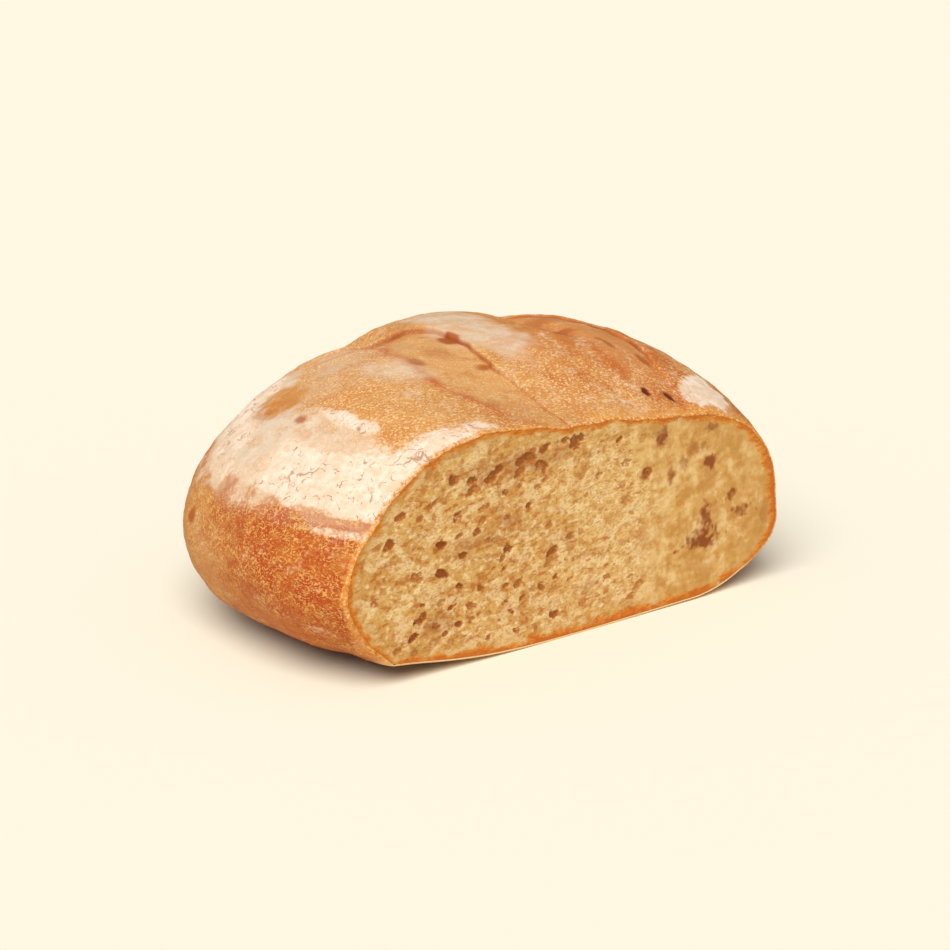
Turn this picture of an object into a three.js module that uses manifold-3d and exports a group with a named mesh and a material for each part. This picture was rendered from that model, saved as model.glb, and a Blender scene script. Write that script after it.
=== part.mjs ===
// A cut rye spelt loaf: one solid, with the cut face towards -Y and the base on z = 0.
// Millimetres, +Z up. The origin is at the middle of the bounding box's bottom.
import * as THREE from 'three';
import Module from 'manifold-3d';

// ---- driving dimensions of the loaf's form -------------------------------------------
// "Left" is -X and "right" is +X, as seen by someone who looks at the cut face.
const LEFT_REACH = 111.6;           // from the loaf's middle line to its left side
const RIGHT_REACH = 115.2;          // and to its right side
const HALF_DEPTH = 98.7;            // half the depth of the whole loaf, before it was cut
const CUT_TO_MIDDLE = 53.2;         // from the cut plane to the middle of the whole loaf
const PLAN_SQUARENESS = 2.24;       // exponent of the outline seen from above
const CROWN_HEIGHT = 95.4;          // top of the smooth crown over the loaf's middle
const CROWN_RISE_RIGHT = 2.7;       // how much the crown rises over 100 mm to the right
const CROWN_RISE_BACK = 11.5;       // how much it rises over 100 mm to the back
const CROWN_SQUARENESS_LEFT = 1.92; // exponent of the crown's section, left side
const CROWN_SQUARENESS_RIGHT = 2.81;
const WAIST_LEFT = 34.8;            // height of the widest line, left side
const WAIST_RIGHT = 24.6;
const SIDE_BLEND = 100;             // width over which left values pass into right values

// The underside. "reach" is the share of the outline that is base, "edge" is how far the
// base has lifted where it meets the side, and "turn" is the exponent of the lower side:
// the smaller, the rounder. At the left, the cut has a sharper corner than the rest.
const UNDER_CORNER = { reach: 0.878, edge: 8.3, turn: 1.4 };
const UNDER_LEFT = { reach: 0.787, edge: 6.3, turn: 0.5 };
const UNDER_RIGHT = { reach: 0.695, edge: 1.4, turn: 0.66 };
const CORNER_FADE = 30;             // how far back from the cut the corner carries
const BASE_FLAT_SHARE = 0.5;        // share of the base that is quite flat
const BASE_STEP = 0.2;              // how much the base lifts at once outside its flat part
const BASE_LIFT_POWER = 1.5;        // and how it lifts from there to its edge

// Swells of the section near the cut: height, direction and spread in degrees.
const SWELLS = [
  { lift: -9.7, direction: 38, spread: 27 },
  { lift: -5.4, direction: 86, spread: 29 },
  { lift: 9.3, direction: 151.5, spread: 22 },
  { lift: 0.9, direction: -20, spread: 18 },
];
const SWELL_REACH = 55.5;           // how far back from the cut the swells carry
const SWELL_CENTRE_Z = 42;          // height of the point that the directions start from

// Broad lumps and dips of the crown: middle, spread to the sides and to the back, height.
const LUMPS = [
  { x: 24, y: 100, wide: 24, deep: 30, lift: 2.6 },
  { x: 64, y: 88, wide: 20, deep: 26, lift: 2.2 },
  { x: 78, y: 50, wide: 24, deep: 30, lift: 0.5 },
  { x: -38, y: 116, wide: 24, deep: 26, lift: -1.2 },
  { x: -72, y: 112, wide: 20, deep: 30, lift: -0.7 },
  { x: -22, y: 112, wide: 10, deep: 16, lift: -1.3 },
  { x: 48, y: 104, wide: 8, deep: 14, lift: -0.4 },
];
const LUMPS_FROM = 40;              // the lumps start at this height
const LUMPS_OVER = 20;              // and are whole this much higher

// ---- slashes -------------------------------------------------------------------------
// Each slash runs back from the cut plane. The crust right of its line stands up as an
// ear, and a lower strip of smooth crust has opened on its left. "x" is where the line
// meets the cut, "lean" and "bow" bend it over its length, and "hook" turns its far end
// to the left, growing with the square of the distance past "hookFrom". The strip lies
// lower by "drop", and by "farDrop" towards the far end.
const SLASHES = [
  {
    x: -4, lean: 0.05, bow: 0, hookFrom: 78, hook: 0.035, length: 116,
    width: 15, belly: 17, drop: 1.0, farDrop: 2.2, ear: 1.0, step: 26,
  },
  {
    x: 62, lean: 0, bow: 9, hookFrom: 75, hook: 0.02, length: 112,
    width: 12, belly: 14, drop: 0.8, farDrop: 0.8, ear: 0.8, step: 15,
  },
];
const SLASH_SPAN = 112;             // length over which a slash's bow and belly are drawn
const SLASH_FADE = 20;              // length of the shallow end of a slash
const SLASH_AT_CUT = 0.3;           // share of the relief that is left at the cut plane
const SLASH_SETTLE = 40;            // distance from the cut to the full relief
const SLASH_FAR_FROM = 60;          // distance from the cut where the far end's drop begins
const SLASH_FAR_OVER = 40;
const SLASH_EASE = 0.6;             // how much later the rings ease back than the slash fades
const STRIP_STEEP = 0.25;           // share of the drop that comes in one step at the strip's edge
const STRIP_STEEP_SHARE = 1 / 6;    // share of the strip's width that this step takes
const EAR_SPREAD = 30;              // how far the ear's lift carries to the right
const EAR_STEP = 2.4;               // width of the step at the slash's line
const SLASHES_FROM = 55;            // slashes cut only crust higher than this
const SLASHES_OVER = 12;            // and are whole this much higher

// ---- gentle unevenness of the hand-shaped dough ---------------------------------------
const WAVE_COUNT = 7;
const WAVE_HEIGHT = 0.45;
const WAVE_SHORTEST = 42;
const WAVE_LONGEST = 95;
const WAVE_SEED = 11;

// ---- pores that show in the cut face ---------------------------------------------------
// A chain of larger holes lies under the crust, left of the middle of the face.
const CHAIN = { count: 9, left: -54, right: 0, height: 67, rise: 5, sag: 2, size: 2.3, jitter: 1.6 };
// Lone holes: place on the face and size.
const LONE_HOLES = [
  [-53, 55, 2.0], [-60, 46, 2.3], [-60, 36, 2.5], [-70, 36, 2.1], [-31, 39, 2.2],
  [-11, 34, 2.6], [-18, 44, 2.0], [-68, 22, 2.4], [-53, 16, 1.8], [34, 55, 2.0],
  [61, 25, 3.4], [62, 34, 2.0],
];
const SCATTERED_HOLES = 22;
const SCATTERED_SMALLEST = 1.1;
const SCATTERED_LARGEST = 1.9;
const HOLE_SEED = 29;
const HOLE_FLATNESS = 0.72;         // height of a pore over its width
const HOLE_SINK = 0.15;             // how far a pore's middle lies in front of the cut plane
const CHAIN_SMALLEST = 0.65;        // sizes in the chain, as shares of its own size
const CHAIN_LARGEST = 1.2;
const FACE_LEFT = -82;              // the part of the face where lone pores are drawn
const FACE_RIGHT = 86;
const FACE_LOW = 9;
const FACE_HIGH = 66;
const FACE_SIDE_SHARE = 0.9;        // they stay inside this share of the outline
const FACE_SIDE_STRETCH = 1.12;
const PORE_TURN = 0.6;              // largest turn of a pore, either way, in radians
const PORE_NARROWEST = 0.85;        // width of a pore over its drawn size
const PORE_WIDEST = 1.35;

// ---- fineness of the faceted surface -----------------------------------------------------
const RING_COUNT = 36;
const TOP_STEPS = 52;
const BASE_STEPS = 32;
const FACE_RINGS = [0.86, 0.66, 0.44, 0.2];
const FACE_MIDDLE_Z = 40;
const OUTLINE_PASSES = 20;          // passes that settle the outline's edge
const BASE_STILL = 2;               // crust lower than this keeps its smooth form
const BASE_STILL_OVER = 12;         // and is fully uneven this much higher
const CUT_STILL = 20;               // distance from the cut where it may shift backwards

// ---- from the cut plane's frame to the object's frame -------------------------------------
const CENTRE_X = 1.6;
const CENTRE_Y = 76.0;

// ---- small helpers ---------------------------------------------------------------------
const mix = (a, b, t) => a + (b - a) * t;
const clamp01 = (t) => Math.min(1, Math.max(0, t));
const smooth = (t) => clamp01(t) ** 2 * (3 - 2 * clamp01(t));

// A plain congruential random draw, so that the loaf is the same each time.
function makeDraw(seed) {
  let state = seed;
  return () => {
    state = (Math.imul(state, 1664525) + 1013904223) >>> 0;
    return state / 4294967296;
  };
}

// Share of the right side's values at a place x.
const rightShare = (x) => smooth(0.5 + (0.5 * x) / SIDE_BLEND);

// Distance from the middle of the whole loaf, 0 at the middle and 1 at the outline.
function planRadius(x, y) {
  const reach = mix(LEFT_REACH, RIGHT_REACH, rightShare(x));
  const across = (Math.abs(x) / reach) ** PLAN_SQUARENESS;
  const along = (Math.abs(y - CUT_TO_MIDDLE) / HALF_DEPTH) ** PLAN_SQUARENESS;
  return (across + along) ** (1 / PLAN_SQUARENESS);
}

// Left or right edge of the outline at a depth y.
function outlineX(y, side) {
  const along = clamp01(Math.abs(y - CUT_TO_MIDDLE) / HALF_DEPTH);
  const share = (1 - along ** PLAN_SQUARENESS) ** (1 / PLAN_SQUARENESS);
  let x = side * RIGHT_REACH * share;
  for (let pass = 0; pass < OUTLINE_PASSES; pass += 1) {
    x = side * share * mix(LEFT_REACH, RIGHT_REACH, rightShare(x));
  }
  return x;
}

// Height of the crown over a plan point: a superellipse from the waist up.
function crownHeight(x, y) {
  const share = rightShare(x);
  const waist = mix(WAIST_LEFT, WAIST_RIGHT, share);
  const power = mix(CROWN_SQUARENESS_LEFT, CROWN_SQUARENESS_RIGHT, share);
  const rise = (CROWN_RISE_RIGHT * x + CROWN_RISE_BACK * (y - CUT_TO_MIDDLE)) / 100;
  const radius = clamp01(planRadius(x, y));
  return waist + (CROWN_HEIGHT + rise - waist) * (1 - radius ** power) ** (1 / power);
}

// Height of the underside: flat, then lifting a little, then turning up into the side. The
// step round the flat part gives the loaf a firm edge to rest on.
function undersideHeight(x, y) {
  const share = rightShare(x);
  const waist = mix(WAIST_LEFT, WAIST_RIGHT, share);
  const behind = smooth(y / CORNER_FADE);
  const at = (name) => mix(mix(UNDER_CORNER[name], UNDER_LEFT[name], behind), UNDER_RIGHT[name], share);
  const reach = at('reach');
  const edge = at('edge');
  const radius = clamp01(planRadius(x, y));
  if (radius < reach * BASE_FLAT_SHARE) {
    return 0;
  }
  if (radius < reach) {
    const lifted = (radius / reach - BASE_FLAT_SHARE) / (1 - BASE_FLAT_SHARE);
    return BASE_STEP + (edge - BASE_STEP) * lifted ** BASE_LIFT_POWER;
  }
  const outward = clamp01((radius - reach) / (1 - reach));
  return edge + (waist - edge) * (1 - Math.sqrt(Math.max(0, 1 - outward ** (1 / at('turn')))));
}

// The swells push the section out or in near the cut.
function swellAt(x, y, z) {
  const direction = THREE.MathUtils.radToDeg(Math.atan2(z - SWELL_CENTRE_Z, x));
  let lift = 0;
  for (const swell of SWELLS) {
    const turned = THREE.MathUtils.euclideanModulo(direction - swell.direction + 180, 360) - 180;
    lift += swell.lift * Math.exp(-((turned / swell.spread) ** 2));
  }
  lift *= Math.exp(-((y / SWELL_REACH) ** 2));
  const angle = THREE.MathUtils.degToRad(direction);
  return new THREE.Vector3(x + lift * Math.cos(angle), y, z + lift * Math.sin(angle));
}

// Where a slash's line runs at a depth y.
function slashLine(slash, y) {
  const bow = slash.bow * Math.sin(Math.PI * clamp01(y / SLASH_SPAN));
  const hooked = Math.max(0, y - slash.hookFrom);
  return slash.x + slash.lean * y + bow - slash.hook * hooked ** 2;
}

// Relief of the slashes at a plan point: a drop left of each line and an ear right of it.
function slashRelief(x, y) {
  let relief = 0;
  for (const slash of SLASHES) {
    const width = slash.width + slash.belly * Math.sin(Math.PI * clamp01(y / SLASH_SPAN));
    const settled = mix(SLASH_AT_CUT, 1, smooth(y / SLASH_SETTLE));
    const strength = settled * smooth((slash.length - y) / SLASH_FADE);
    const offset = x - slashLine(slash, y);
    const rightOfLine = smooth(0.5 + offset / EAR_STEP);
    const inStrip = clamp01(1 + offset / width);
    const deepest = mix(slash.drop, slash.farDrop, smooth((y - SLASH_FAR_FROM) / SLASH_FAR_OVER));
    const drop = -deepest * mix(inStrip, smooth(inStrip / STRIP_STEEP_SHARE), STRIP_STEEP);
    const ear = slash.ear * Math.exp(-((offset / EAR_SPREAD) ** 2));
    relief += strength * mix(drop, ear, rightOfLine);
  }
  return relief;
}

// Height of the lumps and dips at a plan point, each a bell in two directions.
function lumpHeight(x, y) {
  return LUMPS.reduce((sum, lump) => {
    const away = ((x - lump.x) / lump.wide) ** 2 + ((y - lump.y) / lump.deep) ** 2;
    return sum + lump.lift * Math.exp(-away);
  }, 0);
}

// Slow waves over the whole crust, in directions and lengths from the seeded draw.
const draw = makeDraw(WAVE_SEED);
const waves = Array.from({ length: WAVE_COUNT }, () => {
  const turn = 2 * Math.PI * draw();
  const pitch = 2 * draw() - 1;
  const level = Math.sqrt(1 - pitch * pitch);
  const number = (2 * Math.PI) / mix(WAVE_SHORTEST, WAVE_LONGEST, draw());
  const phase = 2 * Math.PI * draw();
  const direction = new THREE.Vector3(level * Math.cos(turn), level * Math.sin(turn), pitch);
  return { vector: direction.multiplyScalar(number), phase };
});

function waveHeight(point) {
  return waves.reduce((sum, wave) => sum + WAVE_HEIGHT * Math.sin(wave.vector.dot(point) + wave.phase), 0);
}

// A finished point of the crust: the smooth form, then waves, slashes and lumps along the
// outward direction. Near the cut the shift stays in planes parallel to it, so the cut is flat, and
// near the base it fades, so the loaf still rests on z = 0.
function crustPoint(x, y, z) {
  const point = swellAt(x, y, z);
  const outward = new THREE.Vector3(
    point.x / RIGHT_REACH ** 2,
    (y - CUT_TO_MIDDLE) / HALF_DEPTH ** 2,
    (point.z - SWELL_CENTRE_Z) / (CROWN_HEIGHT / 2) ** 2,
  ).normalize();
  const slashed = slashRelief(x, y) * smooth((point.z - SLASHES_FROM) / SLASHES_OVER);
  const lumped = lumpHeight(x, y) * smooth((point.z - LUMPS_FROM) / LUMPS_OVER);
  const uneven = smooth((point.z - BASE_STILL) / BASE_STILL_OVER);
  const shift = (waveHeight(point) + slashed + lumped) * uneven;
  outward.y *= smooth(y / CUT_STILL);
  point.addScaledVector(outward, shift);
  point.z = Math.max(0, point.z);
  return point;
}

// Places across one half ring, from right to left, crowded towards the sides.
function acrossPlaces(y, steps) {
  const left = outlineX(y, -1);
  const right = outlineX(y, 1);
  const places = [];
  for (let step = 0; step <= steps; step += 1) {
    places.push((left + right) / 2 + ((right - left) / 2) * Math.cos((Math.PI * step) / steps));
  }
  return places;
}

// The places bend so that, on every ring, the same two of them lie at the edge and at the
// foot of each slash's ear. Past a slash's end they ease back to where they were.
function bendToSlashes(places, y) {
  const last = places.length - 1;
  const stops = [{ step: 0, x: places[0] }];
  for (const slash of [...SLASHES].reverse()) {
    const share = smooth((slash.length - y) / SLASH_FADE + SLASH_EASE);
    const x = mix(places[slash.step], slashLine(slash, y), share);
    stops.push({ step: slash.step, x: x + EAR_STEP / 2 });
    stops.push({ step: slash.step + 1, x: x - EAR_STEP / 2 });
  }
  stops.push({ step: last, x: places[last] });
  return places.map((x, step) => {
    const next = stops.findIndex((stop) => stop.step >= Math.max(1, step));
    const from = stops[next - 1];
    const to = stops[next];
    const share = (x - places[from.step]) / (places[to.step] - places[from.step]);
    return mix(from.x, to.x, share);
  });
}

// One ring round the loaf at a depth y: over the crown from right to left, and back under.
function ringPoints(y) {
  const over = bendToSlashes(acrossPlaces(y, TOP_STEPS), y);
  const under = acrossPlaces(y, BASE_STEPS).slice(1, -1).reverse();
  const crown = over.map((x) => crustPoint(x, y, crownHeight(x, y)));
  const base = under.map((x) => crustPoint(x, y, undersideHeight(x, y)));
  return [...crown, ...base];
}

// The whole loaf as one closed mesh: rings from the cut to the back, a last point at the
// back, and the cut face filled in by shrinking rings round its middle.
function makeLoafBody() {
  const startTurn = Math.asin(-CUT_TO_MIDDLE / HALF_DEPTH);
  const rings = [];
  for (let ring = 0; ring < RING_COUNT; ring += 1) {
    const turn = mix(startTurn, Math.PI / 2, ring / RING_COUNT);
    const y = ring === 0 ? 0 : CUT_TO_MIDDLE + HALF_DEPTH * Math.sin(turn);
    rings.push(ringPoints(y));
  }
  const backWaist = mix(WAIST_LEFT, WAIST_RIGHT, 0.5);
  const back = crustPoint(0, CUT_TO_MIDDLE + HALF_DEPTH, backWaist);
  const middle = new THREE.Vector3(0, 0, FACE_MIDDLE_Z);
  const faceRings = FACE_RINGS.map((share) => rings[0].map((p) => middle.clone().lerp(p, share)));

  const around = TOP_STEPS + BASE_STEPS;
  const sheets = [...faceRings.reverse(), ...rings];
  const points = [middle, ...sheets.flat(), back];
  const triangles = [];
  const at = (sheet, step) => 1 + sheet * around + (step % around);
  for (let step = 0; step < around; step += 1) {
    triangles.push(0, at(0, step), at(0, step + 1));
    for (let sheet = 0; sheet < sheets.length - 1; sheet += 1) {
      triangles.push(at(sheet, step), at(sheet + 1, step), at(sheet, step + 1));
      triangles.push(at(sheet, step + 1), at(sheet + 1, step), at(sheet + 1, step + 1));
    }
    triangles.push(at(sheets.length - 1, step), points.length - 1, at(sheets.length - 1, step + 1));
  }
  const vertProperties = new Float32Array(points.flatMap((p) => [p.x, p.y, p.z]));
  return { vertProperties, triVerts: new Uint32Array(triangles) };
}

// A pore: a small squashed ball with its middle near the cut plane.
function makePore(x, z, size, turn, stretch) {
  const ball = new THREE.IcosahedronGeometry(size, 1);
  ball.scale(stretch, 1, HOLE_FLATNESS);
  ball.rotateY(turn);
  ball.translate(x, -HOLE_SINK * size, z);
  return weld(ball);
}

// Shared vertices of a three.js geometry, merged by rounding their places.
function weld(geometry) {
  const position = geometry.getAttribute('position');
  const known = new Map();
  const vertices = [];
  const triangles = [];
  for (let corner = 0; corner < position.count; corner += 1) {
    const place = [position.getX(corner), position.getY(corner), position.getZ(corner)];
    const key = place.map((v) => Math.round(v * 1000)).join();
    if (!known.has(key)) {
      known.set(key, known.size);
      vertices.push(...place);
    }
    triangles.push(known.get(key));
  }
  return { vertProperties: new Float32Array(vertices), triVerts: new Uint32Array(triangles) };
}

// Places of all the pores that are cut, as [x, z, size].
function porePlaces(random) {
  const places = [...LONE_HOLES];
  for (let link = 0; link < CHAIN.count; link += 1) {
    const along = link / (CHAIN.count - 1);
    const x = mix(CHAIN.left, CHAIN.right, along) + CHAIN.jitter * mix(-1, 1, random());
    const sag = CHAIN.sag * Math.sin(2 * Math.PI * along);
    const z = CHAIN.height + CHAIN.rise * along - sag + CHAIN.jitter * mix(-1, 1, random());
    places.push([x, z, CHAIN.size * mix(CHAIN_SMALLEST, CHAIN_LARGEST, random())]);
  }
  while (places.length < LONE_HOLES.length + CHAIN.count + SCATTERED_HOLES) {
    const x = mix(FACE_LEFT, FACE_RIGHT, random());
    const z = mix(FACE_LOW, FACE_HIGH, random());
    const size = mix(SCATTERED_SMALLEST, SCATTERED_LARGEST, random());
    const clear = places.every((p) => Math.hypot(p[0] - x, p[1] - z) > 2 * (p[2] + size));
    if (clear && planRadius(x * FACE_SIDE_STRETCH, 0) < FACE_SIDE_SHARE) {
      places.push([x, z, size]);
    }
  }
  return places;
}

const wasm = await Module();
wasm.setup();

function solidOf(mesh) {
  return new wasm.Manifold(new wasm.Mesh({ numProp: 3, ...mesh }));
}

// The loaf with its pores cut into the face.
function makeLoafGeometry() {
  const random = makeDraw(HOLE_SEED);
  let loaf = solidOf(makeLoafBody());
  for (const [x, z, size] of porePlaces(random)) {
    const turn = mix(-PORE_TURN, PORE_TURN, random());
    const stretch = mix(PORE_NARROWEST, PORE_WIDEST, random());
    loaf = loaf.subtract(solidOf(makePore(x, z, size, turn, stretch)));
  }
  const mesh = loaf.getMesh();
  const geometry = new THREE.BufferGeometry();
  geometry.setAttribute('position', new THREE.BufferAttribute(mesh.vertProperties, 3));
  geometry.setIndex(new THREE.BufferAttribute(mesh.triVerts, 1));
  geometry.computeVertexNormals();
  return geometry;
}

// Baked crust: orange-brown, matt.
const crust = new THREE.MeshStandardMaterial({ color: 0xcb7f42, roughness: 0.8, metalness: 0 });

const loaf = new THREE.Mesh(makeLoafGeometry(), crust);
loaf.name = 'loaf';
loaf.position.set(-CENTRE_X, -CENTRE_Y, 0);

const part = new THREE.Group();
part.add(loaf);

export default part;
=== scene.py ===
"""A cut rye spelt loaf, dressed for a studio picture.

The loaf is two pieces: the baked crust, a closed shell with a shallow recess behind the
cut, and the cut crumb, a slab that fills the recess and shows the pores and the crust's
own thickness. Lengths inside the shape functions are millimetres, as a baker's ruler
would give them, and become metres when a mesh is made.
"""

import math

import bpy
import numpy as np
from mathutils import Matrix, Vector


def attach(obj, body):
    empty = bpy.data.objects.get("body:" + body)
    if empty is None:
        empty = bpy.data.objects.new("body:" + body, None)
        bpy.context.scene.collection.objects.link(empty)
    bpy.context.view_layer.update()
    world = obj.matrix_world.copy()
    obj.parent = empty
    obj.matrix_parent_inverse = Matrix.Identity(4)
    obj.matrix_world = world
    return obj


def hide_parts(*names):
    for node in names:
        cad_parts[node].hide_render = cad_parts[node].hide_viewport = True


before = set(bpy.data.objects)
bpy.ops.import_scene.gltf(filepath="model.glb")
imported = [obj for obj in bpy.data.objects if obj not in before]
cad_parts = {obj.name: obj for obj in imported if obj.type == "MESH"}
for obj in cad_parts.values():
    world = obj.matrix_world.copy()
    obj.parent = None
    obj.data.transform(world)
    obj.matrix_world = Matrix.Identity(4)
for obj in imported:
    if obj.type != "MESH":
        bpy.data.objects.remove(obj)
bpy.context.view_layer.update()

bl_info = {
    "name": "Rye Spelt Loaf",
    "version": (1, 0, 0),
    "blender": (4, 5, 0),
    "location": "View3D > Sidebar > Loaf",
    "description": "Builds a cut, floured rye spelt loaf with its crust and crumb",
    "category": "Add Mesh",
}

MM = 0.001
LOAF_NODE = "loaf"

# ---- the loaf's form, in millimetres, in the frame of the cut plane ---------------------
# The cut is the plane y = 0, the loaf reaches back along +y, and it rests on z = 0.
LEFT_REACH = 111.6
RIGHT_REACH = 115.2
HALF_DEPTH = 98.7
CUT_TO_MIDDLE = 53.2
PLAN_SQUARENESS = 2.24
CROWN_HEIGHT = 95.4
CROWN_RISE_RIGHT = 2.7
CROWN_RISE_BACK = 11.5
CROWN_SQUARENESS = (1.92, 2.81)
WAIST = (34.8, 24.6)
# The underside's reach, edge height and turn: at the cut's left corner, left and right.
UNDER_CORNER = (0.878, 8.3, 1.4)
UNDER_LEFT = (0.787, 6.3, 0.5)
UNDER_RIGHT = (0.695, 1.4, 0.66)
CORNER_FADE = 30
BASE_FLAT_SHARE = 0.5
BASE_STEP = 0.2
BASE_LIFT_POWER = 1.5
SIDE_BLEND = 100
# Swells of the section near the cut: amount, direction and spread in degrees.
SWELLS = ((-9.7, 38, 27), (-5.4, 86, 29), (9.3, 151.5, 22), (0.9, -20, 18))
SWELL_REACH = 55.5
SWELL_CENTRE_Z = 42
# Broad lumps and dips of the crown: x, y, spreads to the sides and to the back, height.
LUMPS = (
    (24, 100, 24, 30, 2.6), (64, 88, 20, 26, 2.2), (78, 50, 24, 30, 0.5), (-38, 116, 24, 26, -1.2),
    (-72, 112, 20, 30, -0.7), (-22, 112, 10, 16, -1.3), (48, 104, 8, 14, -0.4),
)
LUMPS_FROM = 40
LUMPS_OVER = 20
CENTRE_X = 1.6
CENTRE_Y = 76

# ---- slashes: line, opened strip, ear and the strength of the dark line -----------------
SLASHES = (
    dict(x=-4, lean=0.05, bow=0, hook_from=78, hook=0.035, length=116, width=15, belly=17,
         drop=1.0, far_drop=1.9, ear=1.0, share=0.5, line_near=0.55, tint=1.0),
    dict(x=62, lean=0, bow=9, hook_from=75, hook=0.02, length=112, width=12, belly=14,
         drop=0.8, far_drop=0.8, ear=0.8, share=0.29, line_near=0.3, tint=0.4),
)
SLASH_SPAN = 112
SLASH_FADE = 20
SLASH_AT_CUT = 0.3
SLASH_SETTLE = 40
SLASH_FAR_FROM = 60
SLASH_FAR_OVER = 40
SLASH_RAGGEDNESS = 0.8
STRIP_STEEP = 0.25
STRIP_STEEP_SHARE = 1.0 / 6.0
EAR_SPREAD = 30
EAR_STEP = 1.5
EAR_CELLS = 2
SLASHES_FROM = 55
SLASHES_OVER = 12

# ---- fineness of the crust's surface ----------------------------------------------------
RINGS = 224
CROWN_STEPS = 300
UNDER_STEPS = 120
LIP = 0.6            # how far the crust's own edge reaches into the cut face
RECESS_DEPTH = 8.0   # depth of the hollow behind the cut face that holds the crumb
SLAB_GAP = 0.05      # clearance between the crumb slab and the hollow
SLAB_DEPTH = 7.8
FACE_MIDDLE_Z = 40


class Draw:
    """A plain congruential random draw, the same as in the part's own source."""

    def __init__(self, seed):
        self.state = seed

    def __call__(self):
        self.state = (self.state * 1664525 + 1013904223) % 4294967296
        return self.state / 4294967296


def mix(a, b, t):
    """Straight blend from a to b."""
    return a + (b - a) * t


def smooth(t):
    """Smooth step: 3t^2 - 2t^3 between 0 and 1."""
    t = np.clip(t, 0.0, 1.0)
    return t * t * (3.0 - 2.0 * t)


def ramp(value, start, over):
    """Smooth rise from 0 where the value is start to 1 where it is start + over."""
    return smooth((value - start) / over)


def bell(value, middle, width):
    """Bell curve: exp(-((value - middle) / width)^2)."""
    return np.exp(-(((value - middle) / width) ** 2))


def side_value(pair, x):
    """A value that differs on the left and right sides, blended at x."""
    return mix(pair[0], pair[1], smooth(0.5 + 0.5 * x / SIDE_BLEND))


def plan_radius(x, y):
    """Superellipse radius in plan: 0 at the whole loaf's middle, 1 at its outline."""
    across = (np.abs(x) / side_value((LEFT_REACH, RIGHT_REACH), x)) ** PLAN_SQUARENESS
    along = (np.abs(y - CUT_TO_MIDDLE) / HALF_DEPTH) ** PLAN_SQUARENESS
    return (across + along) ** (1.0 / PLAN_SQUARENESS)


def outline_x(y, side):
    """Edge of the plan outline at depth y, by repeating x = side * share * reach(x)."""
    along = np.clip(np.abs(y - CUT_TO_MIDDLE) / HALF_DEPTH, 0.0, 1.0)
    share = (1.0 - along ** PLAN_SQUARENESS) ** (1.0 / PLAN_SQUARENESS)
    x = side * RIGHT_REACH * share
    for _ in range(20):
        x = side * share * side_value((LEFT_REACH, RIGHT_REACH), x)
    return x


def crown_height(x, y):
    """Top surface: waist + (crown - waist) * (1 - radius^m)^(1/m), with a leaning crown."""
    waist = side_value(WAIST, x)
    power = side_value(CROWN_SQUARENESS, x)
    rise = (CROWN_RISE_RIGHT * x + CROWN_RISE_BACK * (y - CUT_TO_MIDDLE)) / 100.0
    radius = np.clip(plan_radius(x, y), 0.0, 1.0)
    return waist + (CROWN_HEIGHT + rise - waist) * (1.0 - radius ** power) ** (1.0 / power)


def under_height(x, y):
    """Underside: flat, then a small lift, then a turn up to the waist."""
    waist = side_value(WAIST, x)
    behind = ramp(y, 0.0, CORNER_FADE)
    reach, edge, turn = (side_value((mix(corner, left, behind), right), x)
                         for corner, left, right in zip(UNDER_CORNER, UNDER_LEFT, UNDER_RIGHT))
    radius = np.clip(plan_radius(x, y), 0.0, 1.0)
    lifted = np.clip((radius / reach - BASE_FLAT_SHARE) / (1.0 - BASE_FLAT_SHARE), 0.0, 1.0)
    base = BASE_STEP * (lifted > 0.0) + (edge - BASE_STEP) * lifted ** BASE_LIFT_POWER
    outward = np.clip((radius - reach) / (1.0 - reach), 0.0, 1.0)
    turned = 1.0 - np.sqrt(np.clip(1.0 - outward ** (1.0 / turn), 0.0, 1.0))
    return np.where(radius < reach, base, edge + (waist - edge) * turned)


def swell(x, y, z):
    """Pushes a point out or in along its direction in the section, fading with depth."""
    direction = np.degrees(np.arctan2(z - SWELL_CENTRE_Z, x))
    lift = np.zeros_like(x)
    for amount, centre, spread in SWELLS:
        turned = (direction - centre + 180.0) % 360.0 - 180.0
        lift = lift + amount * bell(turned, 0.0, spread)
    lift = lift * bell(y, 0.0, SWELL_REACH)
    angle = np.radians(direction)
    return x + lift * np.cos(angle), z + lift * np.sin(angle)


def slash_line(slash, y):
    """Where a slash runs: a lean, a half-wave bow and a hook that grows as a square."""
    bow = slash["bow"] * np.sin(np.pi * np.clip(y / SLASH_SPAN, 0.0, 1.0))
    hooked = np.maximum(0.0, y - slash["hook_from"])
    return slash["x"] + slash["lean"] * y + bow - slash["hook"] * hooked ** 2


def slash_width(slash, y):
    """Width of the opened strip of smooth crust at depth y."""
    return slash["width"] + slash["belly"] * np.sin(np.pi * np.clip(y / SLASH_SPAN, 0.0, 1.0))


def ragged(slash, y):
    """A small unevenness along a torn edge: three sine waves of falling height."""
    phase = slash["x"]
    return SLASH_RAGGEDNESS * (0.55 * np.sin(y / 5.3 + phase) + 0.35 * np.sin(y / 2.3 + 2.0 * phase)
                               + 0.2 * np.sin(y / 1.1 + 3.0 * phase))


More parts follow.
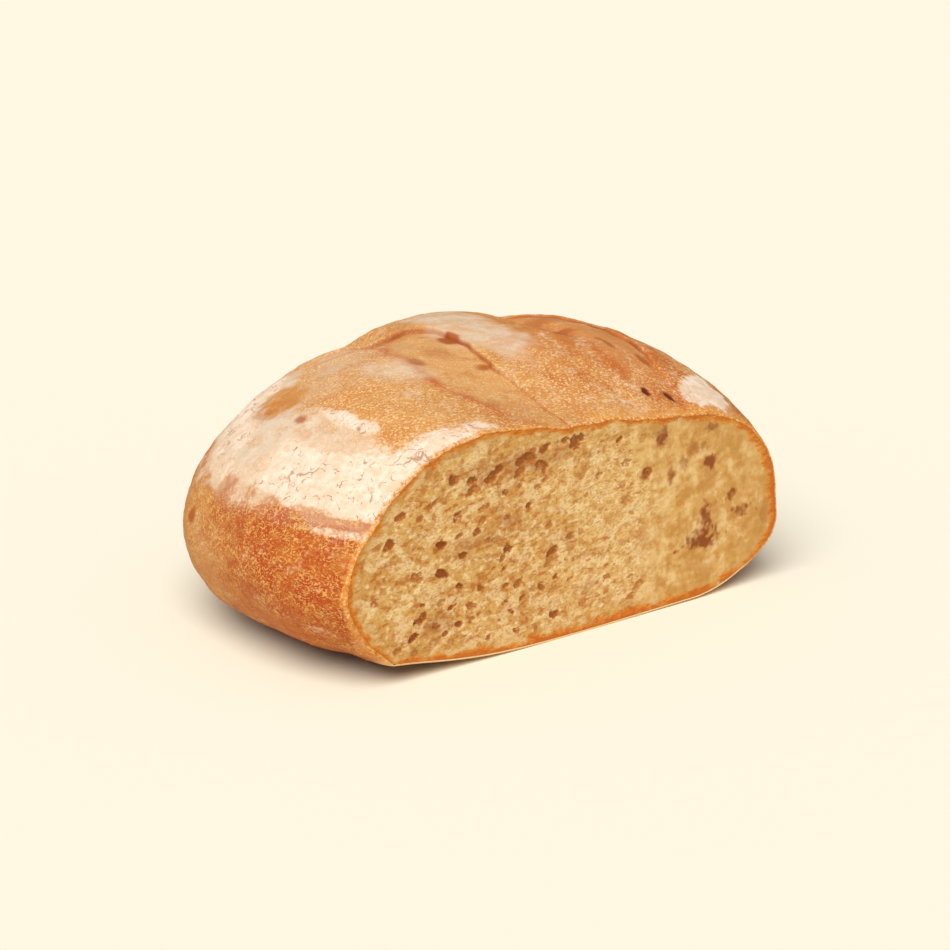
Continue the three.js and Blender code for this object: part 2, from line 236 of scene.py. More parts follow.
def slash_relief(x, y):
    """Drop left of each line, steepest at the line, and an ear right of it."""
    relief = np.zeros_like(x)
    for slash in SLASHES:
        offset = x - slash_line(slash, y) - ragged(slash, y)
        inside = np.clip(1.0 + offset / slash_width(slash, y), 0.0, 1.0)
        deepest = mix(slash["drop"], slash["far_drop"], ramp(y, SLASH_FAR_FROM, SLASH_FAR_OVER))
        drop = -deepest * mix(inside, smooth(inside / STRIP_STEEP_SHARE), STRIP_STEEP)
        ear = slash["ear"] * bell(offset, 0.0, EAR_SPREAD)
        right = smooth(0.5 + offset / EAR_STEP)
        opened = mix(SLASH_AT_CUT, 1.0, ramp(y, 0.0, SLASH_SETTLE))
        strength = opened * smooth((slash["length"] - y) / SLASH_FADE)
        relief = relief + strength * mix(drop, ear, right)
    return relief


def lump_height(x, y):
    """Lumps and dips of the crown, each a bell in two directions."""
    height = np.zeros_like(x)
    for middle_x, middle_y, wide, deep, lift in LUMPS:
        height = height + lift * np.exp(-((x - middle_x) / wide) ** 2 - ((y - middle_y) / deep) ** 2)
    return height


# ---- slow unevenness of the dough -------------------------------------------------------
WAVE_COUNT = 7
WAVE_HEIGHT = 0.45
WAVE_SHORTEST = 42
WAVE_LONGEST = 95
WAVE_SEED = 11


def wave_set():
    """Directions, wave numbers and phases of a few plane waves, from the seeded draw."""
    draw = Draw(WAVE_SEED)
    waves = []
    for _ in range(WAVE_COUNT):
        turn = 2.0 * math.pi * draw()
        pitch = 2.0 * draw() - 1.0
        level = math.sqrt(1.0 - pitch * pitch)
        number = 2.0 * math.pi / mix(WAVE_SHORTEST, WAVE_LONGEST, draw())
        phase = 2.0 * math.pi * draw()
        vector = np.array([level * math.cos(turn), level * math.sin(turn), pitch]) * number
        waves.append((vector, phase))
    return waves


SLOW_WAVES = wave_set()


def value_noise(x, y, z, seed):
    """Smooth random values on a unit lattice, blended in three directions, -1 to 1."""
    base = [np.floor(v).astype(np.int64) for v in (x, y, z)]
    part = [smooth(v - b) for v, b in zip((x, y, z), base)]
    total = np.zeros_like(x)
    for corner in range(8):
        bits = [(corner >> k) & 1 for k in range(3)]
        i, j, k = (b + s for b, s in zip(base, bits))
        mixed = (i * 73856093) ^ (j * 19349663) ^ (k * 83492791) ^ (seed * 2654435761)
        mixed = (mixed ^ (mixed >> 13)) * 1274126177
        mixed = (mixed ^ (mixed >> 16)) & 0xFFFF
        weight = np.ones_like(x)
        for bit, share in zip(bits, part):
            weight = weight * (share if bit else 1.0 - share)
        total = total + weight * (mixed / 32767.5 - 1.0)
    return total


def layered_noise(x, y, z, size, seed, layers=3):
    """Value noise in layers, each half as large and half as high as the one before."""
    total = np.zeros_like(x)
    for layer in range(layers):
        scale = 2.0 ** layer / size
        total = total + 0.5 ** layer * value_noise(x * scale, y * scale, z * scale, seed + layer)
    return total


def across_places(y, steps):
    """Places across half a ring, right to left, as a cosine between the two edges."""
    left, right = outline_x(y, -1.0), outline_x(y, 1.0)
    turn = np.linspace(0.0, np.pi, steps + 1)
    return (left + right)[:, None] / 2.0 + (right - left)[:, None] / 2.0 * np.cos(turn)


def bend_to_slashes(places, y):
    """Bends the places so that the same few of them straddle each slash's line."""
    last = places.shape[1] - 1
    stops = [(0, places[:, 0])]
    for slash in reversed(SLASHES):
        step = int(round(slash["share"] * last))
        share = smooth((slash["length"] - y) / SLASH_FADE + 0.6)
        x = mix(places[:, step], slash_line(slash, y) + ragged(slash, y), share)
        stops.append((step - EAR_CELLS, x + EAR_STEP / 2.0))
        stops.append((step + EAR_CELLS, x - EAR_STEP / 2.0))
    stops.append((last, places[:, last]))
    bent = np.empty_like(places)
    for (first, from_x), (second, to_x) in zip(stops[:-1], stops[1:]):
        span = places[:, first:second + 1]
        share = (span - span[:, :1]) / (span[:, -1:] - span[:, :1])
        bent[:, first:second + 1] = mix(from_x[:, None], to_x[:, None], share)
    return bent


# ---- fine relief of the crust -----------------------------------------------------------
CRAG_SIZE = 8        # width of the largest lumps of the crust
CRAG_HEIGHT = 0.38
BLISTER_SIZE = 2.6   # width of the smallest bumps that are modelled
BLISTER_HEIGHT = 0.11
FLOUR_THICKNESS = 0.15
LINE_DEPTH = 0.5     # depth of the crease under an ear
# The edge of the base sags a little at the cut: how far, up to what height, and how far back.
LIP_DROP = 1.2
LIP_OVER = 6
LIP_REACH = 9
# Small burst holes in the crust: x, y, width, stretch along y, and depth.
CRUST_HOLES = ((52, 15, 3, 1.3, 1.0), (61.5, 11.5, 2.3, 1.9, 0.9))

# ---- flour and colour on the crust ------------------------------------------------------
# A dusted band runs round the shoulder of the loaf, between these heights, and thins backwards.
FLOUR_BAND_LOW = 55.5
FLOUR_BAND_HIGH = 73.5
FLOUR_BAND_EDGE = 7.5
FLOUR_FAR = 0.22
FLOUR_THINS_FROM = 40
FLOUR_THINS_OVER = 26
FLOUR_STREAK = 3
CROWN_FLOUR = 0.12
# Patches: x, y, z, half sizes along each, softness of the edge in half sizes, and amount.
FLOUR_PATCHES = (
    (-60, 3, 81, 20, 8, 9, 0.7, 0.7), (76, 14, 75, 15, 12, 8, 0.35, 1.1),
    (-73, 37, 83, 6, 15, 2.2, 0.5, 0.85), (-66, 90, 79.5, 12, 14, 7.5, 0.4, -1.2),
    (-97, 60, 60, 10, 20, 5, 1, 0.3), (-64, 112, 76, 16, 14, 9, 0.6, 1),
    (-86, 96, 70, 14, 18, 6, 0.9, 0.6), (-80, 44, 78.5, 11, 20, 3.6, 0.8, -1),
    (30, 135, 60, 30, 20, 16, 1.2, 0.5), (-64, 0, 0, 26, 2, 1.6, 0.5, 0.9),
    (-96, 84, 62, 12, 12, 6, 1, 0.35), (-94, 13, 55.4, 16, 14, 1.4, 1, 0.6),
    (-96, 14, 58.4, 15, 17, 1.3, 0.9, -0.9), (-68.5, 84, 77, 5, 7, 4, 0.5, -1.2),
    (58, 14, 79, 12, 9, 8, 0.9, -0.5), (33, 15, 83.5, 13, 8, 6, 0.9, 0.14),
)
# Dips of the crown where the slashes meet the skyline, in mm, and swells beside them.
DIP_PATCHES = (
    (-17, 104, 92, 6.5, 20, 12, 1.5, 2.3), (-31, 107, 88, 7, 16, 12, 1.6, -0.7),
    (44, 82, 96.5, 6, 26, 12, 1.4, 2.8), (57, 80, 94, 7, 18, 10, 1.6, -0.6),
)
# Thin even dusting, brown stains, deep orange places, paler ones and ones without flecks.
COLOUR_PATCHES = {
    "haze": (
        (11, 84, 97, 13, 38, 12, 0.8, 0.8), (-38, 57, 92, 10, 12, 9, 1.2, 0.7),
        (-74, 106, 72, 22, 22, 12, 0.7, 0.8), (-88, 78, 70, 20, 36, 17, 0.6, 1),
        (-79, 38, 78, 10, 22, 6.5, 0.6, 0.72), (-58, 78, 86, 20, 16, 6, 1.2, 0.25),
        (-60, 112, 76, 20, 16, 14, 0.6, 0.7), (-36, 96, 90, 16, 18, 8, 1.2, 0.35),
        (-82, 24, 60, 26, 34, 5, 0.9, 0.3), (-66, 90, 79.5, 12, 14, 7.5, 0.4, -1.2),
        (-98, 60, 58, 14, 20, 6, 1, 0.35), (-68.5, 84, 77, 5, 7, 4, 0.5, -1.2),
        (58, 14, 79, 12, 9, 8, 0.9, -0.6),
    ),
    "stain": (
        (-2, 73, 95, 3.4, 4.4, 6, 0.6, 0.95), (-27, 59, 94, 2.6, 4, 6, 0.9, 0.7),
        (-5, 48, 90, 3.4, 2.4, 6, 0.6, 0.85), (-15, 63, 94, 4.5, 5, 6, 1.2, 0.35),
        (-8, 95, 94, 6, 8, 6, 1.4, 0.35), (-22, 21, 85, 4, 5, 5, 1.2, 0.3),
        (51, 84, 93, 8, 5, 6, 1, 0.5), (46, 65, 95, 4.5, 3.4, 6, 0.8, 0.7),
        (53, 46, 92, 2.4, 6.5, 6, 0.6, 0.9), (60, 33, 86, 1.8, 5, 6, 0.6, 0.8),
        (-106, 87, 44, 7, 3, 2.6, 0.9, 0.9), (-77, 60, 80, 2.2, 3, 1.6, 0.8, 0.8),
    ),
    "ember": (
        (58, 28, 84, 15, 13, 8, 0.9, 0.5), (20, 26, 86, 10, 12, 8, 0.8, 0.35),
        (54, 56, 90, 36, 48, 22, 0.9, 0.62), (-104, 24, 34, 20, 32, 22, 1.2, 0.45),
        (58, 14, 79, 12, 10, 8, 0.9, 1.1), (-24, 12, 84, 12, 16, 8, 1, 0.35),
        (-97, 20, 56.5, 12, 14, 0.9, 0.9, 0.9), (-92, 10, 53.5, 12, 9, 0.8, 0.9, 0.9),
    ),
    "pale": ((-110, 92, 38, 18, 30, 28, 0.9, 0.9), (-108, 56, 22, 14, 30, 13, 1.2, 0.25)),
    "plain": (
        (52, 78, 92, 44, 46, 20, 0.7, 0.85), (-66, 90, 79.5, 14, 16, 9, 0.6, 0.9),
        (12, 78, 97, 20, 34, 10, 0.7, 0.8), (-104, 60, 16, 22, 50, 16, 1, 0.5),
    ),
}


def outward_direction(x, y, z):
    """Unit gradient of the ellipsoid that the loaf roughly is, kept level near the cut."""
    nx = x / RIGHT_REACH ** 2
    ny = (y - CUT_TO_MIDDLE) / HALF_DEPTH ** 2
    nz = (z - SWELL_CENTRE_Z) / (CROWN_HEIGHT / 2.0) ** 2
    length = np.sqrt(nx * nx + ny * ny + nz * nz)
    return nx / length, ny / length * smooth(y / 20.0), nz / length


def crust_holes(x, y, z):
    """How deep each burst hole goes at a plan point, as a smooth round pit."""
    depth = np.zeros_like(x)
    stray = 0.35 * layered_noise(x, y, z, 1.6, seed=91, layers=2)
    for hole_x, hole_y, width, stretch, sink in CRUST_HOLES:
        away = np.hypot(x - hole_x, (y - hole_y) / stretch) / width + stray
        depth = np.maximum(depth, sink * (1.0 - smooth(away)))
    return depth * ramp(z, SLASHES_FROM, SLASHES_OVER)


def patches(x, y, z, table, stray):
    """Sum of patches, each full inside its ellipsoid and gone outside, with a wandering edge."""
    total = np.zeros_like(x)
    for px, py, pz, wide, deep, high, soft, amount in table:
        away = np.sqrt(((x - px) / wide) ** 2 + ((y - py) / deep) ** 2 + ((z - pz) / high) ** 2)
        total = total + amount * (1.0 - smooth(0.5 + (away + stray - 1.0) / soft))
    return total


def slash_masks(x, y, z):
    """Opened strip, dark line under the ear, and orange seam at the strip's far side."""
    strip, line, seam = np.zeros_like(x), np.zeros_like(x), np.zeros_like(x)
    high = ramp(z, SLASHES_FROM, SLASHES_OVER)
    torn = 2.2 * layered_noise(x, y, z, 8.0, seed=55)
    varied = 0.95 + 0.5 * layered_noise(x, y, z, 9.0, seed=57, layers=2)
    for slash in SLASHES:
        offset = x - slash_line(slash, y) - ragged(slash, y)
        width = slash_width(slash, y)
        shut = smooth((slash["length"] - y) / SLASH_FADE) * high
        inside = smooth((offset + width + torn) / 7.0) * (1.0 - ramp(offset, -0.6, 1.2))
        strip = np.maximum(strip, slash["tint"] * inside * shut * ramp(y, 2.0, 30.0))
        dark = mix(slash["line_near"], 1.0, ramp(y, 28.0, 20.0))
        line = np.maximum(line, dark * varied * bell(offset, -0.2, 0.42) * shut)
        border = bell(offset + width + torn, 1.5, 2.2) * smooth(0.2 + varied * y / 60.0)
        seam = np.maximum(seam, border * shut * np.clip(1.9 * varied - 0.9, 0.0, 1.0))
    return strip, np.clip(line, 0.0, 1.0), seam


def flour_cover(x, y, z, strip):
    """How thickly flour lies, 0 to 1: a shoulder band and patches, less the strips."""
    stray = 2.6 * layered_noise(x, y, z, 26.0, seed=71)
    streak = FLOUR_STREAK * layered_noise(0.35 * x, 0.35 * y, 1.7 * z, 6.0, seed=75, layers=2)
    rise = smooth((z - FLOUR_BAND_LOW - stray - streak) / FLOUR_BAND_EDGE)
    fall = 1.0 - smooth((z - FLOUR_BAND_HIGH - stray) / FLOUR_BAND_EDGE)
    leftness = 1.0 - ramp(x, -30.0, 60.0)
    behind = 0.6 * ramp(y, 70.0, 50.0)
    near = mix(1.0, FLOUR_FAR, ramp(y, FLOUR_THINS_FROM, FLOUR_THINS_OVER))
    cover = rise * fall * np.clip(near * leftness + behind * (1.0 - leftness), 0.0, 1.0)
    cover = cover + CROWN_FLOUR * ramp(z, 60.0, 12.0)
    cover = cover + patches(x, y, z, FLOUR_PATCHES, 0.3 * layered_noise(x, y, z, 7.0, seed=77))
    return np.clip(cover, 0.0, 1.0) * (1.0 - 0.9 * strip)


def crust_colours(x, y, z):
    """Masks for stains, deep orange, pale and hazy places, and how many flecks show."""
    stray = 0.35 * layered_noise(x, y, z, 6.0, seed=81)
    masks = {name: np.clip(patches(x, y, z, table, stray), 0.0, 1.0)
             for name, table in COLOUR_PATCHES.items()}
    masks["fleck"] = 1.0 - masks.pop("plain")
    return masks


def base_lip(z, y):
    """Lets the base's edge sag to the floor at the cut: z - drop * share(z) * share(y)."""
    low = np.clip(z / LIP_DROP, 0.0, 1.0) * (1.0 - ramp(z, LIP_DROP, LIP_OVER))
    return z - LIP_DROP * low * (1.0 - smooth(y / LIP_REACH))


def crust_surface(x, y, z):
    """Smooth form, then waves, slashes, lumps, crags, dips and holes along the outward direction."""
    px, pz = swell(x, y, z)
    nx, ny, nz = outward_direction(px, y, pz)
    strip, line, seam = slash_masks(x, y, pz)
    flour = flour_cover(px, y, pz, strip)
    holes = crust_holes(x, y, pz)
    crags = CRAG_HEIGHT * layered_noise(px, y, pz, CRAG_SIZE, seed=17) * (1.0 - 0.4 * strip)
    blisters = BLISTER_HEIGHT * layered_noise(px, y, pz, BLISTER_SIZE, seed=23, layers=2)
    fine = crags + blisters + FLOUR_THICKNESS * flour - LINE_DEPTH * line
    fine = fine - patches(px, y, pz, DIP_PATCHES, 0.0)
    waves = sum(np.sin(number[0] * px + number[1] * y + number[2] * pz + phase)
                for number, phase in SLOW_WAVES)
    slashed = slash_relief(x, y) * ramp(pz, SLASHES_FROM, SLASHES_OVER)
    lumped = lump_height(x, y) * ramp(pz, LUMPS_FROM, LUMPS_OVER)
    shift = (WAVE_HEIGHT * waves + slashed + lumped + fine - holes) * ramp(pz, 2.0, 12.0)
    lowered = base_lip(pz + nz * shift, y)
    points = np.stack([px + nx * shift, np.maximum(y + ny * shift, 0.0), np.maximum(lowered, 0.0)], axis=-1)
    masks = {"flour": flour, "strip": strip, "line": line, "seam": seam, "hole": holes}
    return points, {**masks, **crust_colours(px, y, pz)}


def crust_rings():
    """All rings of the crust as one array: crown from right to left, then back under.

    The rings lie closer together at the cut and towards the back, as sines of even turns.
    """
    start = math.asin(-CUT_TO_MIDDLE / HALF_DEPTH)
    depths = CUT_TO_MIDDLE + HALF_DEPTH * np.sin(np.linspace(start, math.pi / 2.0, RINGS + 1))[:-1]
    depths[0] = 0.0
    over = bend_to_slashes(across_places(depths, CROWN_STEPS), depths)
    under = across_places(depths, UNDER_STEPS)[:, -2:0:-1]
    y_over = np.repeat(depths[:, None], over.shape[1], axis=1)
    y_under = np.repeat(depths[:, None], under.shape[1], axis=1)
    x = np.concatenate([over, under], axis=1)
    y = np.concatenate([y_over, y_under], axis=1)
    z = np.concatenate([crown_height(over, y_over), under_height(under, y_under)], axis=1)
    return crust_surface(x, y, z)


def inset_outline(outline, amount):
    """The cut outline moved in by an amount along its own normals, in the cut plane."""
    ahead = np.roll(outline, -3, axis=0) - np.roll(outline, 3, axis=0)
    normal = np.stack([-ahead[:, 1], ahead[:, 0]], axis=-1)
    normal = normal / np.linalg.norm(normal, axis=1, keepdims=True)
    return outline + amount * normal


def cut_outline(points):
    """Outline of the cut face as x and z, from the first ring of the crust."""
    return points[0][:, [0, 2]]


# ---- the crumb's slab -------------------------------------------------------------------
SLAB_COLUMNS = 464
SLAB_ROWS = 200
FACE_SCALE = (100, 40)
# Bubble layers: lattice size, smallest and largest radius, share of places, seed, depth over
# radius, and how brown the palest and the brownest are; their brown follows each bubble's depth,
# so it is partly painted shade.
BUBBLE_LAYERS = (
    (2.4, 0.5, 1.0, 0.6, 301, 0.16, 0.1, 0.55),
    (4.0, 0.8, 1.5, 0.42, 302, 0.2, 0.25, 0.8),
    (8.0, 1.1, 2.0, 0.3, 303, 0.32, 0.4, 1.0),
)
BUBBLE_STRETCH = 1.35   # bubbles are this much wider than high
BUBBLE_TILT = 0.25      # and lean up to the right
# Larger holes: x, z and half width, as in the part's own source, and its chain of holes.
CHAIN = dict(count=9, left=-54, right=0, height=67, rise=5, sag=2, size=2.3, jitter=1.6)
LONE_HOLES = (
    (-53, 55, 2), (-60, 46, 2.3), (-60, 36, 2.5), (-70, 36, 2.1), (-31, 39, 2.2), (-11, 34, 2.6),
    (-18, 44, 2), (-68, 22, 2.4), (-53, 16, 1.8), (34, 55, 2), (61, 25, 3.4), (62, 34, 2),
)
SCATTERED_HOLES = 22
SCATTERED_SIZE = (1.1, 1.9)
# How brown the single holes, the chain and the scattered holes are: partly their own colour, partly painted
# shade that follows each hole's depth.
LONE_TONES = (0.75, 1.0, 0.9, 0.5, 0.8, 0.75, 0.3, 0.8, 0.8, 0.9, 0.3, 0.3)
CHAIN_TONE = 0.8
SCATTERED_TONE = 0.3
# Small pores of the face: x, z, half width and how brown (partly the crumb's colour, partly painted shade
# in them).
SMALL_PORES = (
    (-50.7, 40.9, 1.7, 0.9), (-52, 29.6, 1.5, 0.95), (-32, 59.6, 1.6, 0.7), (-21.7, 53.2, 1.6, 0.8),
    (-31, 50.3, 1.6, 0.6), (-45, 47.7, 1.9, 0.7), (-52.4, 48.1, 1.3, 0.6), (-32.7, 32, 1.3, 0.7),
    (-26.4, 25, 2, 0.6), (-15.9, 21.6, 1.8, 0.7), (-42.8, 26.8, 1.6, 0.7), (-24.5, 19.4, 1.3, 0.7),
    (-68.2, 26.3, 1.2, 0.7), (-70, 20.6, 1.7, 0.9), (-47.2, 21.5, 1.8, 0.6), (-46.8, 16.3, 1.8, 0.5),
    (-31.8, 25.5, 1.3, 0.7), (-60.2, 25.6, 2.1, 0.4), (-62.4, 17.3, 1.3, 0.85),
    (-58.5, 13.9, 1.3, 0.7), (-72.1, 15.6, 2, 1), (-71.3, 9.6, 1.2, 0.9), (-29.5, 15.3, 1.2, 0.85),
    (-26.2, 65.7, 2.8, 0.6), (-11.9, 30.6, 2.6, 0.42), (-35.8, 42.9, 2.6, 0.35),
    (-0.1, 72.6, 3.4, 0.8), (19.6, 69.5, 1.4, 0.85), (-3.2, 37.7, 1.8, 0.6), (30.4, 12.2, 2.4, 0.5),
    (-38, 66.5, 2.4, 0.75), (-47, 63, 2.2, 0.65), (-16, 66.5, 2.6, 0.7),
)
HOLE_SEED = 29
HOLE_FLATNESS = 0.72
HOLE_CORNERS = 5
HOLE_SHARE = 0.55       # depth of a hole over its half width
DEEPEST_PIT = 5.0
# Soft brown blots in the crumb: x, z, half width, half height and strength.
BLOTS = (
    (61.2, 22.6, 9, 4, 1), (62, 26, 4.6, 3.6, 0.9), (62.8, 32.8, 3.4, 4.6, 0.9),
    (76, 38, 2.8, 2.6, 0.9), (65, 53, 3.4, 2.8, 0.9), (81, 31, 3.8, 2.6, 0.85),
    (41, 66, 2.8, 3.8, 0.9), (65, 66.5, 4.6, 1.9, 0.95), (46, 52, 2.2, 3, 0.75),
    (51, 55, 2, 3.4, 0.65), (94, 28, 2, 5, 0.5), (58, 60, 4.4, 2.6, 0.5),
    (-28, 68.5, 28, 4.8, 0.42), (33, 54, 4.4, 2.2, 0.75), (-62, 18, 6, 5, 0.5),
    (-30, 49, 9, 2.4, 0.45), (-45, 45, 13, 2.2, 0.4), (-50, 40, 3, 2.4, 0.4),
    (45, 16, 3, 1.8, 0.35), (5, 16, 3.6, 4, 0.35), (-4, 37, 3.2, 3.6, 0.4),
)
# Patches of the face: the close, blurred crumb on the right and the pale, level one mid way.
SOFT_FROM = 26
SOFT_OVER = 16
PALE_MIDDLE = 16
PALE_WIDTH = 26
# Thickness of the crust as the cut shows it: left, right and at the base.
RIND_LEFT = 2.2
RIND_RIGHT = 3.6
RIND_BASE = 3.6


def hole_places():
    """Places, sizes, turns and stretches of the larger holes, drawn as the source does."""
    draw = Draw(HOLE_SEED)
    places = list(LONE_HOLES)
    for link in range(CHAIN["count"]):
        along = link / (CHAIN["count"] - 1)
        x = mix(CHAIN["left"], CHAIN["right"], along) + CHAIN["jitter"] * mix(-1, 1, draw())
        sag = CHAIN["sag"] * math.sin(2.0 * math.pi * along)
        z = CHAIN["height"] + CHAIN["rise"] * along - sag + CHAIN["jitter"] * mix(-1, 1, draw())
        places.append((x, z, CHAIN["size"] * mix(0.65, 1.2, draw())))
    while len(places) < len(LONE_HOLES) + CHAIN["count"] + SCATTERED_HOLES:
        x = mix(-82.0, 86.0, draw())
        z = mix(9.0, 66.0, draw())
        size = mix(*SCATTERED_SIZE, draw())
        clear = all(math.hypot(p[0] - x, p[1] - z) > 2.0 * (p[2] + size) for p in places)
        if clear and float(plan_radius(np.array(x * 1.12), 0.0)) < 0.9:
            places.append((x, z, size))
    return [(*place, mix(-0.6, 0.6, draw()), mix(0.85, 1.35, draw())) for place in places]


def lattice_random(i, j, seed):
    """A fixed random number from 0 to 1 for each lattice place."""
    mixed = (i * 73856093) ^ (j * 19349663) ^ (seed * 83492791)
    mixed = (mixed ^ (mixed >> 13)) * 1274126177
    mixed = (mixed ^ (mixed >> 15)) * 2246822519
    return ((mixed ^ (mixed >> 14)) & 0xFFFFF) / 1048575.0


def bubble_depth(x, z, size, smallest, largest, share, seed):
    """Depth of round bubbles set at random on a jittered lattice, and a random tone of each."""
    column, row = np.floor(x / size).astype(np.int64), np.floor(z / size).astype(np.int64)
    depth = np.zeros_like(x)
    tone = np.zeros_like(x)
    for step in range(9):
        i, j = column + step // 3 - 1, row + step % 3 - 1
        across, up, grown, kept, sunk, shade = (lattice_random(i, j, seed + 1000 * k) for k in range(6))
        radius = mix(smallest, largest, grown ** 1.5)
        square = radius ** 2 - (x - (i + 0.15 + 0.7 * across) * size) ** 2
        square = square - (z - (j + 0.15 + 0.7 * up) * size) ** 2
        below = np.sqrt(np.maximum(square, 0.0)) + (0.9 * sunk - 0.35) * radius
        here = np.where((kept < share) & (square > 0.0), below, 0.0)
        tone = np.where(here > depth, shade, tone)
        depth = np.maximum(depth, here)
    return depth, tone


def hole_depth(x, z):
    """Depth of the larger, ragged, flat-bottomed holes below the cut, and how brown they are, partly
    painted shade that follows each hole's depth.
    """
    depth = np.zeros_like(x)
    brown = np.zeros_like(x)
    tones = list(LONE_TONES) + [CHAIN_TONE] * CHAIN["count"] + [SCATTERED_TONE] * SCATTERED_HOLES
    holes = [(*place, tone) for place, tone in zip(hole_places(), tones)]
    holes += [(px, pz, size, 0.7 * math.sin(7.0 * px), 1.2, tone) for px, pz, size, tone in SMALL_PORES]
    sector = 2.0 * math.pi / HOLE_CORNERS
    for cx, cz, size, turn, stretch, tone in holes:
        tight = float(mix(1.0, 0.45, softness(cx)))
        near = (np.abs(x - cx) < 2.5 * size) & (np.abs(z - cz) < 2.5 * size)
        px, pz = x[near] - cx, z[near] - cz
        along = (px * math.cos(turn) - pz * math.sin(turn)) / stretch
        across = (px * math.sin(turn) + pz * math.cos(turn)) / HOLE_FLATNESS
        turned = (np.arctan2(across, along) + turn) % sector - sector / 2.0
        straight = math.cos(sector / 2.0) / np.cos(turned)
        edge = 1.12 * mix(1.0, straight, 0.7)
        edge = edge + 0.3 * layered_noise(px + cx, pz + cz, 0.0 * px, 1.6, seed=47, layers=2)
        inside = 1.0 - (along ** 2 + across ** 2) / (size * np.maximum(edge, 0.2)) ** 2
        depth[near] = np.maximum(depth[near], tight * HOLE_SHARE * size * tone * smooth(2.2 * inside))
        brown[near] = np.maximum(brown[near], tone * tight * smooth(3.5 * inside))
    return depth, brown


def fill_outline(outline):
    """A square lattice drawn onto a disc that is stretched to the outline's radius.

    On the disc, x = u sqrt(1 - v2/2) and z = v sqrt(1 - u2/2).
    """
    u, v = np.meshgrid(np.linspace(-1.0, 1.0, SLAB_COLUMNS + 1), np.linspace(-1.0, 1.0, SLAB_ROWS + 1))
    disc_x, disc_z = u * np.sqrt(1.0 - v * v / 2.0), v * np.sqrt(1.0 - u * u / 2.0)
    scaled_x = outline[:, 0] / FACE_SCALE[0]
    scaled_z = (outline[:, 1] - FACE_MIDDLE_Z) / FACE_SCALE[1]
    angle = np.arctan2(scaled_z, scaled_x)
    order = np.argsort(angle)
    radius = np.hypot(scaled_x, scaled_z)
    reach = np.interp(np.arctan2(disc_z, disc_x), angle[order], radius[order], period=2.0 * np.pi)
    return disc_x * reach * FACE_SCALE[0], disc_z * reach * FACE_SCALE[1] + FACE_MIDDLE_Z, u, v


def distance_to_outline(x, z, outline):
    """Shortest distance from each place to the outline's points, worked out in slices."""
    flat = np.stack([x.ravel(), z.ravel()], axis=-1).astype(np.float32)
    rim = outline.astype(np.float32)
    nearest = np.empty(len(flat), dtype=np.float32)
    for part in range(0, len(flat), 8192):
        gap = flat[part:part + 8192, None, :] - rim[None, :, :]
        nearest[part:part + 8192] = np.sqrt((gap ** 2).sum(axis=2).min(axis=1))
    return nearest.reshape(x.shape).astype(float)


def pale_share(x):
    """Share of the pale, level crumb mid way: a bell along the face."""
    return bell(x, PALE_MIDDLE, PALE_WIDTH)


def softness(x):
    """Share of the close, blurred crumb: none on the left, all on the right."""
    return ramp(x, SOFT_FROM, SOFT_OVER)


def crumb_relief(x, z, edge):
    """Depth of the cut crumb (three sizes of bubbles, holes, a slow unevenness) and its brown, which
    follows the depth of the pores and so is partly painted shade.
    """
    zero = np.zeros_like(x)
    warp_x = x + 0.85 * layered_noise(x, z, zero, 1.9, seed=61, layers=2)
    warp_z = z + 0.85 * layered_noise(x, z, zero + 9.0, 1.9, seed=67, layers=2)
    lean_x = (warp_x * math.cos(BUBBLE_TILT) + warp_z * math.sin(BUBBLE_TILT)) / BUBBLE_STRETCH
    lean_z = warp_z * math.cos(BUBBLE_TILT) - warp_x * math.sin(BUBBLE_TILT)
    crowd = np.clip(0.95 + 0.45 * layered_noise(x, z, zero + 4.0, 14.0, seed=73), 0.4, 1.2)
    pit = np.zeros_like(x)
    pore = np.zeros_like(x)
    for size, smallest, largest, share, seed, flatness, palest, brownest in BUBBLE_LAYERS:
        layer, tone = bubble_depth(lean_x, lean_z, size, smallest, largest, share, seed)
        layer = flatness * crowd * layer
        pit = np.maximum(pit, layer)
        pore = np.maximum(pore, mix(palest, brownest, tone) * smooth(layer / 0.3))
    open_share = mix(1.0, 0.25, softness(x)) * mix(0.1, 1.0, ramp(edge, 1.0, 2.6))
    holes, brown = hole_depth(x, z)
    rim = ramp(edge, 1.0, 2.0)
    pit = np.minimum(np.maximum(pit * open_share, holes * rim), DEEPEST_PIT)
    pore = np.maximum(pore * open_share * (1.0 - 0.5 * pale_share(x)), brown * rim)
    slow = 0.3 * layered_noise(x, z, zero, 22.0, seed=79) * smooth(edge / 5.0)
    return pit + np.maximum(slow + 0.25 * smooth(edge / 5.0), 0.0), pore


def crumb_colours(x, z, edge):
    """Masks of the face: the soft right, the pale middle, the blots and depth in crusts."""
    zero = np.zeros_like(x)
    stray = layered_noise(x, z, zero, 3.0, seed=83)
    drift = 8.0 * layered_noise(x, z, zero + 5.0, 16.0, seed=87)
    frayed = 0.5 * layered_noise(x, z, zero + 9.0, 1.6, seed=85, layers=2)
    blot = np.zeros_like(x)
    for bx, bz, wide, high, strength in BLOTS:
        reach = ((x - bx) / wide) ** 2 + ((z - bz) / high) ** 2
        far = reach * (0.6 + 0.3 * stray) + 0.2 * stray + frayed
        blot = np.maximum(blot, strength * (1.0 - smooth(far)))
    rind = RIND_LEFT + (RIND_RIGHT - RIND_LEFT) * ramp(x, 55.0, 35.0)
    rind = np.maximum(rind, RIND_BASE * (1.0 - ramp(z, 4.0, 8.0)))
    return {"soft": softness(x + drift), "pale": pale_share(x + drift),
            "blot": np.clip(blot, 0.0, 1.0), "rind": edge / rind}


